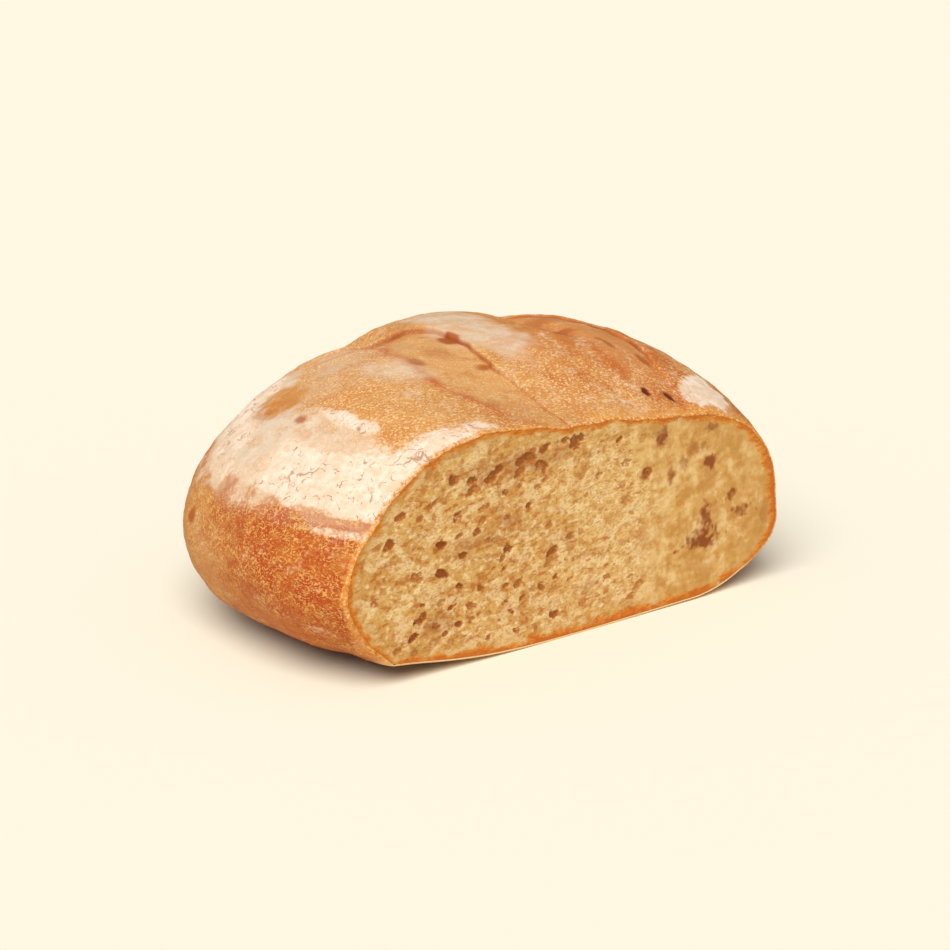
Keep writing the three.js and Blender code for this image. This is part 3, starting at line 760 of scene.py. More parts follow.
# ---- meshes -----------------------------------------------------------------------------
def make_mesh(name, points, quads, triangles, uvs, masks):
    """A mesh from whole arrays: points in millimetres, corners of the faces, UVs, masks."""
    mesh = bpy.data.meshes.new(name)
    mesh.vertices.add(len(points))
    placed = (points - np.array([CENTRE_X, CENTRE_Y, 0.0])) * MM
    mesh.vertices.foreach_set("co", placed.astype(np.float32).ravel())
    loops = np.concatenate([quads.ravel(), triangles.ravel()])
    mesh.loops.add(len(loops))
    mesh.loops.foreach_set("vertex_index", loops.astype(np.int32))
    starts = np.concatenate([np.arange(len(quads)) * 4, quads.size + np.arange(len(triangles)) * 3])
    mesh.polygons.add(len(starts))
    mesh.polygons.foreach_set("loop_start", starts.astype(np.int32))
    mesh.update(calc_edges=True)
    layer = mesh.uv_layers.new(name="OFBake")
    layer.data.foreach_set("uv", uvs.astype(np.float32).ravel())
    for mask, values in masks.items():
        attribute = mesh.attributes.new(mask, "FLOAT", "POINT")
        attribute.data.foreach_set("value", values.astype(np.float32).ravel())
    mesh.shade_smooth()
    mesh.validate()
    piece = bpy.data.objects.new(name, mesh)
    bpy.context.scene.collection.objects.link(piece)
    return piece


def build_crust():
    """The baked shell: rings closed at the back, and a recess behind the cut at the front."""
    points, masks = crust_rings()
    around = points.shape[1]
    lip = inset_outline(cut_outline(points), LIP)
    middle = np.array([0.0, FACE_MIDDLE_Z])
    flat_rings = [(middle + 0.5 * (lip - middle), RECESS_DEPTH), (lip, RECESS_DEPTH), (lip, 0.0)]
    inner = np.stack([np.insert(ring, 1, y, axis=1) for ring, y in flat_rings])
    sheet = np.concatenate([inner, points], axis=0)
    back_y = CUT_TO_MIDDLE + HALF_DEPTH
    back, _ = crust_surface(np.array([0.0]), np.array([back_y]), np.array([mix(*WAIST, 0.5)]))
    vertices = np.concatenate([sheet.reshape(-1, 3), [[0.0, RECESS_DEPTH, FACE_MIDDLE_Z]], back])

    rows = sheet.shape[0]
    row, column = np.meshgrid(np.arange(rows - 1), np.arange(around), indexing="ij")
    row = np.stack([row, row + 1, row + 1, row], axis=-1)
    column = np.stack([column, column, column + 1, column + 1], axis=-1)
    quads = (row * around + column % around).reshape(-1, 4)
    uvs = [np.stack([column / around, row / rows + 0.5 / rows], axis=-1).reshape(-1, 2)]
    step = np.arange(around)
    after = (step + 1) % around
    last = (rows - 1) * around
    front = np.stack([np.full(around, rows * around), step, after], axis=-1)
    behind = np.stack([last + step, np.full(around, rows * around + 1), last + after], axis=-1)
    fans = (((0.5, 0.0, 1.0), (0.0, 0.5, 0.5)), ((0.0, 0.5, 1.0), (rows - 0.5, rows, rows - 0.5)))
    for across, along in fans:
        fan_u = (step[:, None] + np.array(across)) / around
        fan_v = np.tile(np.array(along) / rows, (around, 1))
        uvs.append(np.stack([fan_u, fan_v], axis=-1).reshape(-1, 2))

    full = {}
    for name, values in masks.items():
        extended = np.concatenate([np.repeat(values[:1], 3, axis=0), values], axis=0)
        full[name] = np.concatenate([extended.ravel(), [0.0, 0.0]])
    edge = np.concatenate([np.zeros((3, around)), points[..., 1]], axis=0)
    full["from_cut"] = np.concatenate([edge.ravel(), [0.0, back_y]])
    return make_mesh("loaf_crust", vertices, quads, np.concatenate([front, behind]),
                     np.concatenate(uvs), full)


UV_INNER = 0.96                                              # part of the UV square for the face
CAP_UV = ((0.0005, 0.0005), (0.0045, 0.0005), (0.0005, 0.0045))   # the hidden back's corner of it


def lattice_quads(values):
    """The four corners' values of each quad of a lattice."""
    return np.stack([values[:-1, :-1], values[:-1, 1:], values[1:, 1:], values[1:, :-1]], axis=2)


def build_crumb(outline):
    """The cut face as a slab: a relief in front, a plain wall round it and a flat back."""
    x, z, u, v = fill_outline(inset_outline(outline, LIP + SLAB_GAP))
    edge = distance_to_outline(x, z, outline)
    depth, pore = crumb_relief(x, z, edge)
    flat = np.stack([x, depth, z], axis=-1).reshape(-1, 3)
    index = np.arange(x.size).reshape(x.shape)
    border = np.concatenate([index[0, :-1], index[:-1, -1], index[-1, :0:-1], index[:0:-1, 0]])
    behind = flat[border].copy()
    behind[:, 1] = SLAB_DEPTH
    vertices = np.concatenate([flat, behind, [[0.0, SLAB_DEPTH, FACE_MIDDLE_Z]]])
    count = len(border)
    step = np.arange(count)
    after = (step + 1) % count
    wall = np.stack([border[after], border, x.size + step, x.size + after], axis=-1)
    cap = np.stack([x.size + after, x.size + step, np.full(count, x.size + count)], axis=-1)
    quads = np.concatenate([lattice_quads(index).reshape(-1, 4), wall])

    grid_uv = 0.5 + 0.5 * UV_INNER * np.stack([u, v], axis=-1)
    at_rim = grid_uv.reshape(-1, 2)[border]
    outside = 0.5 + (at_rim - 0.5) / UV_INNER
    wall_uv = np.stack([at_rim[after], at_rim, outside, outside[after]], axis=1).reshape(-1, 2)
    uvs = np.concatenate([lattice_quads(grid_uv).reshape(-1, 2), wall_uv, np.tile(CAP_UV, (count, 1))])

    masks = {**crumb_colours(x, z, edge), "pore": pore, "edge": edge}
    hidden = np.zeros(count + 1)
    full = {name: np.concatenate([values.ravel(), hidden]) for name, values in masks.items()}
    return make_mesh("loaf_crumb", vertices, quads, cap, uvs, full)


# ---- shader building --------------------------------------------------------------------
BOUNCE_TONE = (0.38, 0.23, 0.12, 1.0)   # brown of the light that the loaf throws around
BOUNCE_SHARE = 0.85
FLOOR_CLOUD = (0.9, 0.85, 0.75, 1.0)     # tone of the unevenness in the floor
FLOOR_CLOUD_SHARE = 0.01
CELL_LEAN = 0.1                         # radians that the rows of cells lean up to the right


def srgb(*screen):
    """A colour given as screen values 0 to 255, as the linear values that Blender uses."""
    shares = [value / 255.0 for value in screen]
    return tuple(v / 12.92 if v <= 0.04045 else ((v + 0.055) / 1.055) ** 2.4 for v in shares)


def tones(look):
    """The colours of a look as four values each, by name."""
    values = {name: getattr(look, name) for name in type(look).__annotations__}
    return {name: (*value, 1.0) for name, value in values.items() if not isinstance(value, float)}


class Wiring:
    """Adds nodes to one node tree and joins their sockets."""

    def __init__(self, tree):
        self.tree = tree

    def node(self, kind, **settings):
        made = self.tree.nodes.new("ShaderNode" + kind)
        for name, value in settings.items():
            setattr(made, name, value)
        return made

    def join(self, value, socket):
        if isinstance(value, bpy.types.NodeSocket):
            self.tree.links.new(value, socket)
        else:
            socket.default_value = value

    def feed(self, made, *values):
        """Joins values to a node's first sockets and gives its first output."""
        for value, socket in zip(values, made.inputs):
            self.join(value, socket)
        return made.outputs[0]

    def math(self, operation, *values, clamp=False):
        return self.feed(self.node("Math", operation=operation, use_clamp=clamp), *values)

    def vector(self, operation, *values):
        return self.feed(self.node("VectorMath", operation=operation), *values)

    def times(self, product, *factors):
        for factor in factors:
            product = self.math("MULTIPLY", product, factor)
        return product

    def line(self, value, slope, start):
        """value * slope + start."""
        return self.math("MULTIPLY_ADD", value, slope, start)

    def rest(self, value):
        """1 - value."""
        return self.math("SUBTRACT", 1.0, value)

    def centred(self, noise):
        """A noise moved so that its middle is 0."""
        return self.math("SUBTRACT", noise, 0.5)

    def most(self, first, second):
        return self.math("MAXIMUM", first, second)

    def step(self, value, low, high):
        """Smooth step from low to high, or back down where low is the greater."""
        made = self.node("MapRange", interpolation_type="SMOOTHSTEP")
        self.feed(made, value, low, high)
        return made.outputs["Result"]

    def blend(self, factor, first, second):
        made = self.node("Mix", data_type="RGBA")
        for value, place in ((factor, 0), (first, 6), (second, 7)):
            self.join(value, made.inputs[place])
        return made.outputs[2]

    def paint(self, base, colour, *shares):
        """A colour over the base, as strongly as the product of the shares."""
        return self.blend(self.times(*shares), base, colour)

    def calm_bounce(self, colour, share):
        """The colour as seen, and nearer to one brown for the light that it throws on other things."""
        bounced = self.node("LightPath").outputs["Is Diffuse Ray"]
        return self.paint(colour, BOUNCE_TONE, bounced, share)

    def attributes(self, *names):
        return [self.node("Attribute", attribute_name=name).outputs["Fac"] for name in names]

    def noise(self, place, size, detail, finer=1.0):
        """Noise whose patches are about size / finer wide, in the units of the place."""
        made = self.node("TexNoise")
        self.join(place, made.inputs["Vector"])
        self.join(self.math("DIVIDE", finer, size), made.inputs["Scale"])
        self.join(detail, made.inputs["Detail"])
        return made

    def cells(self, feature, place, size):
        made = self.node("TexVoronoi", feature=feature)
        self.join(place, made.inputs["Vector"])
        self.join(self.math("DIVIDE", 1.0, size), made.inputs["Scale"])
        return made.outputs

    def group(self, name, place, **values):
        made = self.node("Group")
        made.node_tree = bpy.data.node_groups[name]
        if place is not None:
            self.join(place, made.inputs["Place"])
        for label, value in values.items():
            self.join(value, made.inputs[label])
        return made.outputs

    def bump(self, shader, height, strength, distance):
        """Bends a shader's normal by a height."""
        made = self.node("Bump")
        for label, value in (("Strength", strength), ("Distance", distance), ("Height", height)):
            self.join(value, made.inputs[label])
        self.join(made.outputs["Normal"], shader.inputs["Normal"])


def open_group(name, results, place=True, **values):
    """A new shader group: its wiring, its inputs (a Place first, if wanted) and its outputs."""
    tree = bpy.data.node_groups.new(name, "ShaderNodeTree")
    if place:
        tree.interface.new_socket("Place", in_out="INPUT", socket_type="NodeSocketVector")
    for label, value in values.items():
        socket = tree.interface.new_socket(label, in_out="INPUT", socket_type="NodeSocketFloat")
        socket.default_value = value
    for label in results:
        tree.interface.new_socket(label, in_out="OUTPUT", socket_type="NodeSocketFloat")
    return Wiring(tree), tree.nodes.new("NodeGroupInput").outputs, tree.nodes.new("NodeGroupOutput").inputs


def grain_group(name):
    """Patches of a given size in millimetres: noise, and the same noise cut to a mask."""
    w, given, result = open_group(name, ("Mask", "Value"), Size=1.0, Detail=2.0, Low=0.5, High=0.6)
    noise = w.noise(given["Place"], given["Size"], given["Detail"])
    w.join(0.55, noise.inputs["Roughness"])
    w.join(noise.outputs["Fac"], result["Value"])
    w.join(w.step(noise.outputs["Fac"], given["Low"], given["High"]), result["Mask"])


def fleck_group(name):
    """Short winding threads: where a noise passes its middle, broken up by a second noise."""
    w, given, result = open_group(name, ("Mask",), Size=1.5, Width=0.05, Broken=0.5)
    size, width, broken = given["Size"], given["Width"], given["Broken"]
    bend = w.noise(given["Place"], size, 1.0)
    away = w.math("ABSOLUTE", w.centred(bend.outputs["Fac"]))
    line = w.rest(w.step(away, w.times(width, 0.5), width))
    moved = w.vector("ADD", given["Place"], (31.0, 17.0, 53.0))
    gaps = w.noise(moved, size, 1.0, finer=1.5)
    kept = w.step(gaps.outputs["Fac"], broken, w.math("ADD", broken, 0.06))
    w.join(w.times(line, kept), result["Mask"])


def cell_group(name):
    """Cells with walls, bent by noise: some of the cells, picked at random, count as open."""
    w, given, result = open_group(name, ("Open",), Size=1.5, Wall=0.1, Share=0.4)
    size, wall = given["Size"], given["Wall"]
    bend = w.noise(given["Place"], size, 2.0, finer=1.4)
    reach = w.times(size, 1.1)
    strength = w.feed(w.node("CombineXYZ"), reach, reach, reach)
    moved = w.vector("MULTIPLY_ADD", bend.outputs["Color"], strength, given["Place"])
    border = w.cells("DISTANCE_TO_EDGE", moved, size)
    tone = w.feed(w.node("SeparateColor"), w.cells("F1", moved, size)["Color"])
    inside = w.step(border["Distance"], wall, w.math("ADD", wall, 0.14))
    least = w.rest(given["Share"])
    w.join(w.times(inside, w.step(tone, least, w.math("ADD", least, 0.22))), result["Open"])


def crack_group(name):
    """Thin lines between cells of a given size in millimetres, bent and broken by noise."""
    w, given, result = open_group(name, ("Mask",), Size=6.0, Width=0.04, Broken=0.5)
    place, size, broken = given["Place"], given["Size"], given["Broken"]
    bend = w.noise(place, size, 3.0, finer=2.2)
    moved = w.vector("MULTIPLY_ADD", bend.outputs["Color"], (4.5, 4.5, 4.5), place)
    border = w.cells("DISTANCE_TO_EDGE", moved, size)
    line = w.rest(w.step(border["Distance"], 0.0, given["Width"]))
    gaps = w.noise(place, size, 2.0, finer=1.3)
    kept = w.step(gaps.outputs["Fac"], broken, w.math("ADD", broken, 0.08))
    w.join(w.times(line, kept), result["Mask"])


def dust_group(name):
    """Where powder lies: a broad cover, broken up by coarse and fine patches."""
    w, given, result = open_group(name, ("Thick", "Thin"), place=False,
                                  Cover=0.5, Coarse=0.5, Fine=0.5, Breakup=0.7)
    total = w.line(w.centred(given["Coarse"]), given["Breakup"], given["Cover"])
    total = w.line(w.centred(given["Fine"]), given["Breakup"], total)
    w.join(w.step(total, 0.25, 0.95), result["Thick"])
    w.join(w.step(total, 0.1, 0.5), result["Thin"])


GRAIN, FLECKS, CELLS = "Dough Grain", "Winding Flecks", "Open Cells"
CRACKS, DUST = "Dry Cracks", "Powder Dusting"
GROUPS = {GRAIN: grain_group, FLECKS: fleck_group, CELLS: cell_group, CRACKS: crack_group,
          DUST: dust_group}


def open_material(name, roughness, specular=0.25):
    """A material with one Principled shader; returns it, its wiring, the shader and the place."""
    material = bpy.data.materials.new(name)
    material.use_nodes = True
    w = Wiring(material.node_tree)
    shader = material.node_tree.nodes["Principled BSDF"]
    w.join(roughness, shader.inputs["Roughness"])
    w.join(specular, shader.inputs["Specular IOR Level"])
    return material, w, shader, w.node("TexCoord").outputs["Object"]


def crust_material(look):
    """Baked crust: toasted sides, tan crown, smooth opened strips, flour, cracks and holes."""
    material, w, shader, place = open_material("baked_crust", 0.8)
    tone = tones(look)
    at_mm = w.vector("MULTIPLY", place, (1000.0, 1000.0, 1000.0))
    level = w.vector("MULTIPLY", at_mm, (0.7, 0.7, 1.5))
    parts = w.node("SeparateXYZ")
    w.feed(parts, place)
    across, height = parts.outputs["X"], parts.outputs["Z"]
    flour, strip, from_cut, fleck = w.attributes("flour", "strip", "from_cut", "fleck")
    ember, pale, seam, hazy, stained, line, hole = w.attributes(
        "ember", "pale", "seam", "haze", "stain", "line", "hole")
    high = w.step(height, look.toast_to * 0.7, look.toast_to)
    low = w.rest(high)

    # Toast below and tan above, with darker patches and grit.
    broad = w.group(GRAIN, at_mm, Size=13.0, Detail=4.0, Low=0.46, High=0.6)
    middle = w.group(GRAIN, level, Size=4.4, Detail=4.0, Low=0.46, High=0.6)
    speck = w.group(GRAIN, at_mm, Size=0.9, Detail=1.0, Low=0.53, High=0.63)
    grit = w.group(GRAIN, at_mm, Size=1.3, Detail=2.0, Low=0.5, High=0.62)
    patchy = w.most(w.times(broad["Mask"], 0.7), w.times(middle["Mask"], 0.6))
    patchy = w.times(patchy, w.line(low, 0.55, 0.5))
    warm = w.math("ADD", patchy, w.times(ember, 0.85), clamp=True)
    base = w.blend(high, tone["toast"], tone["crown"])
    base = w.blend(warm, base, w.blend(high, tone["toast_deep"], tone["crown_deep"]))
    base = w.paint(base, tone["pale"], pale, w.math("SUBTRACT", 1.15, middle["Value"]))
    rough_top = w.times(high, fleck)
    base = w.paint(base, tone["crown_deep"], grit["Mask"], rough_top, 0.4)

    # Cream threads on the sides and pale flecks on the crown.
    threads = w.group(FLECKS, at_mm, Size=2.3, Width=0.05, Broken=0.45)
    hairs = w.group(FLECKS, level, Size=1.3, Width=0.06, Broken=0.46)
    gather = w.group(GRAIN, level, Size=7.0, Detail=3.0, Low=0.36, High=0.56)
    scattered = w.most(w.times(threads["Mask"], gather["Mask"]),
                       w.times(hairs["Mask"], w.line(gather["Mask"], 0.6, 0.5)))
    on_side = w.times(scattered, w.times(low, fleck))
    base = w.paint(base, tone["toast_deep"], grit["Mask"], low, 0.25)
    base = w.paint(base, tone["side_fleck"], on_side, 0.7)
    base = w.paint(base, tone["fleck"], speck["Mask"], rough_top, 0.6)

    # Smooth crust in the opened slashes.
    brown = w.group(GRAIN, at_mm, Size=8.5, Detail=3.0, Low=0.5, High=0.68)
    opened = w.paint(tone["strip"], tone["strip_deep"], brown["Mask"], 0.6)
    opened = w.paint(opened, tone["strip_light"], middle["Mask"], 0.5)
    opened = w.paint(opened, tone["fleck"], speck["Mask"], 0.25)
    base = w.paint(base, opened, strip, w.math("ADD", broad["Value"], 0.3))
    base = w.paint(base, tone["seam"], seam, 0.85)

    # Golden crust near the cut, further in at the foot and on the right half.
    foot = w.rest(w.step(height, 0.012, 0.03))
    right_half = w.step(across, -0.01, 0.02)
    reach = w.line(right_half, 5.0, w.line(foot, 6.0, 3.0))
    uneven = w.line(w.centred(middle["Value"]), 14.0, from_cut)
    golden = w.times(w.rest(w.step(uneven, 0.2, reach)), w.line(right_half, 0.3, middle["Value"]))
    base = w.paint(base, tone["rim"], golden)
    base = w.paint(base, tone["fleck"], golden, speck["Mask"], 0.5)
    base = w.paint(base, tone["crown_deep"], golden, grit["Mask"], 0.4)

    # Haze, flour and stains.
    fine = w.group(GRAIN, at_mm, Size=1.4, Detail=4.0, Low=0.4, High=0.6)
    coarse = w.group(GRAIN, level, Size=7.5, Detail=4.0, Low=0.42, High=0.6)
    cloudy = w.group(GRAIN, at_mm, Size=3.2, Detail=4.0, Low=0.42, High=0.62)
    mottle = w.line(fine["Mask"], -0.25, w.line(coarse["Mask"], -0.45, 1.15))
    base = w.paint(base, tone["haze"], hazy, mottle, 0.92)
    powder = w.group(DUST, None, Cover=flour, Coarse=coarse["Value"], Fine=fine["Value"], Breakup=1.5)
    base = w.paint(base, tone["flour_thin"], powder["Thin"], 0.4)
    shade = w.times(w.math("ADD", coarse["Mask"], cloudy["Mask"]), 0.55)
    floury = w.blend(shade, tone["flour"], tone["flour_shade"])
    base = w.paint(base, floury, powder["Thick"], 0.96)
    base = w.paint(base, tone["stain"], stained, 0.95)

    # The very edge of the cut, cracks in the flour, painted shade in the creases and holes, and the base:
    # darker crust, partly painted shade under the loaf's edge, with painted light at the foot of the cut.
    frayed = w.line(w.centred(fine["Value"]), 4.0, from_cut)
    rim_line = w.rest(w.step(frayed, 0.3, 2.0))
    base = w.paint(base, tone["rim"], rim_line, 0.8)
    base = w.paint(base, tone["fleck"], rim_line, speck["Mask"], 0.6)
    base = w.paint(base, tone["crown_deep"], rim_line, grit["Mask"], 0.75)
    split = w.group(CRACKS, at_mm, Size=10.0, Width=0.05, Broken=0.53)
    small_split = w.group(FLECKS, at_mm, Size=3.6, Width=0.02, Broken=0.53)
    left_half = w.step(across, 0.02, -0.02)
    shown = w.times(w.most(split["Mask"], small_split["Mask"]), powder["Thick"], left_half)
    base = w.paint(base, tone["crack"], shown, 0.78)
    base = w.blend(line, base, tone["ear_shadow"])
    # Burst holes: painted shade, darkest where the holes are deepest.
    base = w.blend(w.step(hole, 0.1, 0.55), base, tone["hole"])
    # Lowest band of the crust: partly the crust's own darker base, partly painted shade where the loaf's
    # edge meets the floor.
    raised = w.step(height, 0.003, 0.013)
    # Near the cut the base band turns to the pale lip colour: painted light along the foot of the cut,
    # where the shade under the front edge would fall.
    at_front = w.rest(w.step(from_cut, 1.0, 8.0))
    base = w.blend(raised, w.blend(at_front, tone["underside"], tone["lip"]), base)
    w.join(w.calm_bounce(base, w.times(raised, BOUNCE_SHARE)), shader.inputs["Base Color"])

    w.join(w.line(strip, -0.14, w.line(powder["Thick"], 0.22, 0.72)), shader.inputs["Roughness"])
    rough = w.line(on_side, 0.3, w.line(fine["Value"], 0.8, w.times(speck["Value"], 0.4)))
    rough = w.times(rough, w.line(strip, -0.6, 1.0))
    w.bump(shader, w.line(shown, -0.6, rough), strength=0.5, distance=0.0006)
    return material


def crumb_material(look):
    """Cut crumb: a fine net of pale walls and tan cells, brown pores partly painted as shade, and a golden
    rind.
    """
    material, w, shader, place = open_material("cut_crumb", 0.9)
    tone = tones(look)
    at_mm = w.vector("MULTIPLY", place, (1000.0, 1000.0, 1000.0))
    pore, blot, rind, soft, pale, edge = w.attributes("pore", "blot", "rind", "soft", "pale", "edge")
    calm = w.times(w.step(edge, 0.8, 3.2), w.line(soft, -0.85, 1.0))
    turned = w.node("VectorRotate", rotation_type="Y_AXIS")
    w.join(at_mm, turned.inputs["Vector"])
    w.join(CELL_LEAN, turned.inputs["Angle"])
    leaning = w.vector("MULTIPLY", turned.outputs[0], (0.72, 0.3, 1.15))
    face = w.vector("MULTIPLY", at_mm, (1.0, 0.3, 1.0))
    flatter = w.vector("MULTIPLY", face, (0.5, 1.0, 1.2))
    cell = w.group(CELLS, leaning, Size=2.5, Wall=0.12, Share=0.4)
    dashes = w.group(CELLS, flatter, Size=1.9, Wall=0.16, Share=0.4)
    broad = w.group(GRAIN, face, Size=20.0, Detail=3.0, Low=0.38, High=0.62)
    cloud = w.group(GRAIN, face, Size=5.0, Detail=4.0, Low=0.44, High=0.68)
    clump = w.group(GRAIN, leaning, Size=5.0, Detail=4.0, Low=0.5, High=0.6)
    net = w.group(GRAIN, leaning, Size=2.6, Detail=4.0, Low=0.53, High=0.63)
    fine = w.group(GRAIN, leaning, Size=0.8, Detail=2.0, Low=0.5, High=0.64)

    # Broad tones, then the net of walls and the small hollows between them.
    base = w.blend(broad["Mask"], tone["crumb"], tone["crumb_warm"])
    base = w.paint(base, tone["crumb_light"], pale, 0.6)
    base = w.paint(base, tone["crumb_shade"], cloud["Mask"], w.line(soft, 0.8, 0.5))
    base = w.paint(base, tone["wall"], w.step(cloud["Value"], 0.48, 0.36), soft, 0.4)
    hollow = w.most(w.step(net["Value"], 0.44, 0.38), w.times(cell["Open"], 0.8))
    hollow = w.math("MULTIPLY", hollow, w.line(pale, -0.45, calm), clamp=True)
    base = w.paint(base, tone["pit"], hollow, 0.85)
    bright = w.most(w.times(net["Mask"], 0.8), w.times(clump["Mask"], 0.6))
    base = w.paint(base, tone["wall"], bright, calm, 0.85)
    base = w.paint(base, tone["pit"], dashes["Open"], pale, calm, 0.85)
    base = w.paint(base, tone["pit"], fine["Mask"], calm, 0.5)

    # Brown pores and blots with torn edges; the pores' brown, darkest in the deepest, is partly painted
    # shade.
    uneven = w.line(w.centred(net["Value"]), 4.0, w.times(w.centred(fine["Value"]), 3.0))
    torn = w.times(pore, w.math("ADD", uneven, 1.0, clamp=True))
    base = w.paint(base, tone["pit"], w.step(torn, 0.0, 0.5), 0.85)
    base = w.paint(base, tone["pit_deep"], w.step(torn, 0.35, 0.9))
    torn_blot = w.math("MULTIPLY", blot, w.line(w.centred(cloud["Value"]), 1.6, 1.1), clamp=True)
    base = w.paint(base, w.blend(blot, tone["pit"], tone["blot"]), torn_blot, 0.95)

    # The crust's thickness round the face.
    depth = w.line(w.centred(clump["Value"]), 3.4, rind)
    base = w.paint(base, tone["under_crust"], w.rest(w.step(depth, 1.0, 4.0)), 0.35)
    streaks = w.group(GRAIN, w.vector("MULTIPLY", at_mm, (0.4, 0.3, 1.6)),
                      Size=1.3, Detail=3.0, Low=0.48, High=0.6)
    baked = w.paint(tone["crust_gold"], tone["crust_edge"], streaks["Mask"], 0.9)
    baked = w.paint(baked, tone["pit_deep"], fine["Mask"], 0.5)
    base = w.paint(base, baked, w.rest(w.step(depth, 0.6, 1.3)), 0.9)
    base = w.paint(base, tone["crust_edge"], w.rest(w.step(depth, 0.1, 0.8)), 0.75)
    w.join(w.calm_bounce(base, BOUNCE_SHARE), shader.inputs["Base Color"])
    raised = w.math("SUBTRACT", w.line(fine["Value"], 0.6, net["Value"]), hollow)
    w.bump(shader, raised, strength=0.12, distance=0.0003)
    return material


def floor_material(look):
    """Plain cream studio surface with a barely visible unevenness in its tone."""
    material, w, shader, place = open_material("studio_floor", 0.95, specular=0.0)
    cloud = w.noise(place, 1.0, 2.0, finer=1.5)
    base = w.paint(tones(look)["floor"], FLOOR_CLOUD, cloud.outputs["Fac"], FLOOR_CLOUD_SHARE)
    w.join(base, shader.inputs["Base Color"])
    return material


# ---- what a user would change -----------------------------------------------------------
def tint(name, description, *screen):
    """A colour property with its default given as screen values."""
    return bpy.props.FloatVectorProperty(name=name, description=description, default=srgb(*screen),
                                         subtype="COLOR", size=3, min=0.0, max=1.0)


def amount(name, description, default, **limits):
    """A plain number property."""
    return bpy.props.FloatProperty(name=name, description=description, default=default, **limits)


class LoafCrustLook(bpy.types.PropertyGroup):
    """Colours and sizes of the baked crust."""

    toast: tint("Toast", "Crust of the lower sides", 194, 112, 40)
    toast_deep: tint("Deep toast", "Darker patches of the lower sides", 178, 72, 16)
    crown: tint("Crown", "Crust of the top", 220, 158, 88)
    crown_deep: tint("Deep crown", "Darker patches of the top", 200, 110, 36)
    pale: tint("Pale toast", "Pale places low on the sides", 209, 155, 91)
    fleck: tint("Fleck", "Pale flecks in the crown", 252, 222, 168)
    side_fleck: tint("Side fleck", "Cream threads on the sides", 236, 182, 102)
    strip: tint("Strip", "Smooth crust in the opened slashes", 223, 161, 94)
    strip_light: tint("Light strip", "Paler streaks in the slashes", 232, 182, 122)
    strip_deep: tint("Deep strip", "Brown stains in the slashes", 200, 120, 54)
    # lip: painted light, a pale band at the foot of the cut in place of the shade under the base's front
    # edge.
    lip: tint("Lip", "Floury edge of the base at the cut", 244, 206, 150)
    # underside: partly the crust's own darker base, partly painted shade under the loaf's edge.
    underside: tint("Underside", "Dark crust next to the base", 112, 54, 20)
    seam: tint("Seam", "Orange edge on the far side of a slash", 200, 98, 34)
    stain: tint("Stain", "Small brown stains", 172, 80, 8)
    ear_shadow: tint("Ear shadow", "Dark line under a slash's ear", 164, 76, 30)
    rim: tint("Rim", "Golden crust next to the cut", 232, 159, 72)
    # hole: painted shade in the burst holes.
    hole: tint("Hole", "Burst holes in the crust", 104, 40, 14)
    flour: tint("Flour", "Thick flour", 253, 231, 210)
    flour_shade: tint("Flour shade", "Greyer parts of the flour", 238, 206, 174)
    haze: tint("Haze", "Even, thin dusting", 233, 211, 184)
    flour_thin: tint("Thin flour", "Thin dusting", 232, 192, 144)
    crack: tint("Crack", "Cracks in the flour", 172, 112, 76)
    toast_to: amount("Toast height", "Height at which the crust has turned from toast to tan",
                     0.086, min=0.0, max=0.2, unit="LENGTH")


class LoafCrumbLook(bpy.types.PropertyGroup):
    """Colours of the cut crumb."""

    crumb: tint("Crumb", "Yellower crumb", 222, 176, 104)
    crumb_warm: tint("Warm crumb", "Browner crumb", 214, 162, 90)
    crumb_light: tint("Light crumb", "Pale middle of the face", 240, 204, 136)
    crumb_shade: tint("Shaded crumb", "Soft brown clouds", 202, 146, 74)
    wall: tint("Wall", "Walls of the pores", 250, 225, 172)
    # pit and deep pit: the pores' own brown, partly painted shade that darkens with their depth.
    pit: tint("Pit", "Small open pores", 186, 114, 50)
    pit_deep: tint("Deep pit", "Bottom of the larger pores", 160, 86, 36)
    blot: tint("Blot", "Soft brown spots", 140, 70, 26)
    under_crust: tint("Under crust", "Crumb just under the crust", 206, 158, 86)
    crust_gold: tint("Crust gold", "Inner half of the crust's thickness", 224, 140, 42)
    crust_edge: tint("Crust edge", "Outermost crust", 198, 100, 28)


class LoafStageLook(bpy.types.PropertyGroup):
    """Floor, light and camera."""

    floor: tint("Floor", "Studio floor and background", 254, 247, 228)
    floor_size: amount("Floor size", "Side of the floor", 16.0, min=1.0, unit="LENGTH")
    key: amount("Key light", "Strength of the soft light from above left", 2.85, min=0.0)
    key_softness: amount("Key softness", "Angle that the key light spans", math.radians(50.0),
                         min=0.0, max=math.pi, subtype="ANGLE")
    fill: amount("Fill light", "Strength of the light from all round", 0.3, min=0.0)
    camera_distance: amount("Camera distance", "From the camera to the loaf's middle",
                            0.82065, min=0.1, unit="LENGTH")
    camera_turn: amount("Camera turn", "Turn of the camera round the loaf, 0 facing the cut",
                        math.radians(-37.71), subtype="ANGLE")
    camera_rise: amount("Camera rise", "Angle of the camera above the floor",
                        math.radians(16.61), subtype="ANGLE")


class LOAF_OT_finishes(bpy.types.Operator):
    """Make the shader groups that the finishes share"""

    bl_idname = "loaf.finishes"
    bl_label = "Shared finishes"

    def execute(self, context):
        for name, make in GROUPS.items():
            make(name)
        return {"FINISHED"}


class LOAF_OT_crust(bpy.types.Operator):
    """Build the baked crust with its slashes, flour and recess"""

    bl_idname = "loaf.crust"
    bl_label = "Crust"

    def execute(self, context):
        piece = build_crust()
        piece.data.materials.append(crust_material(context.scene.loaf_crust_look))
        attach(piece, "root")
        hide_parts(LOAF_NODE)
        return {"FINISHED"}


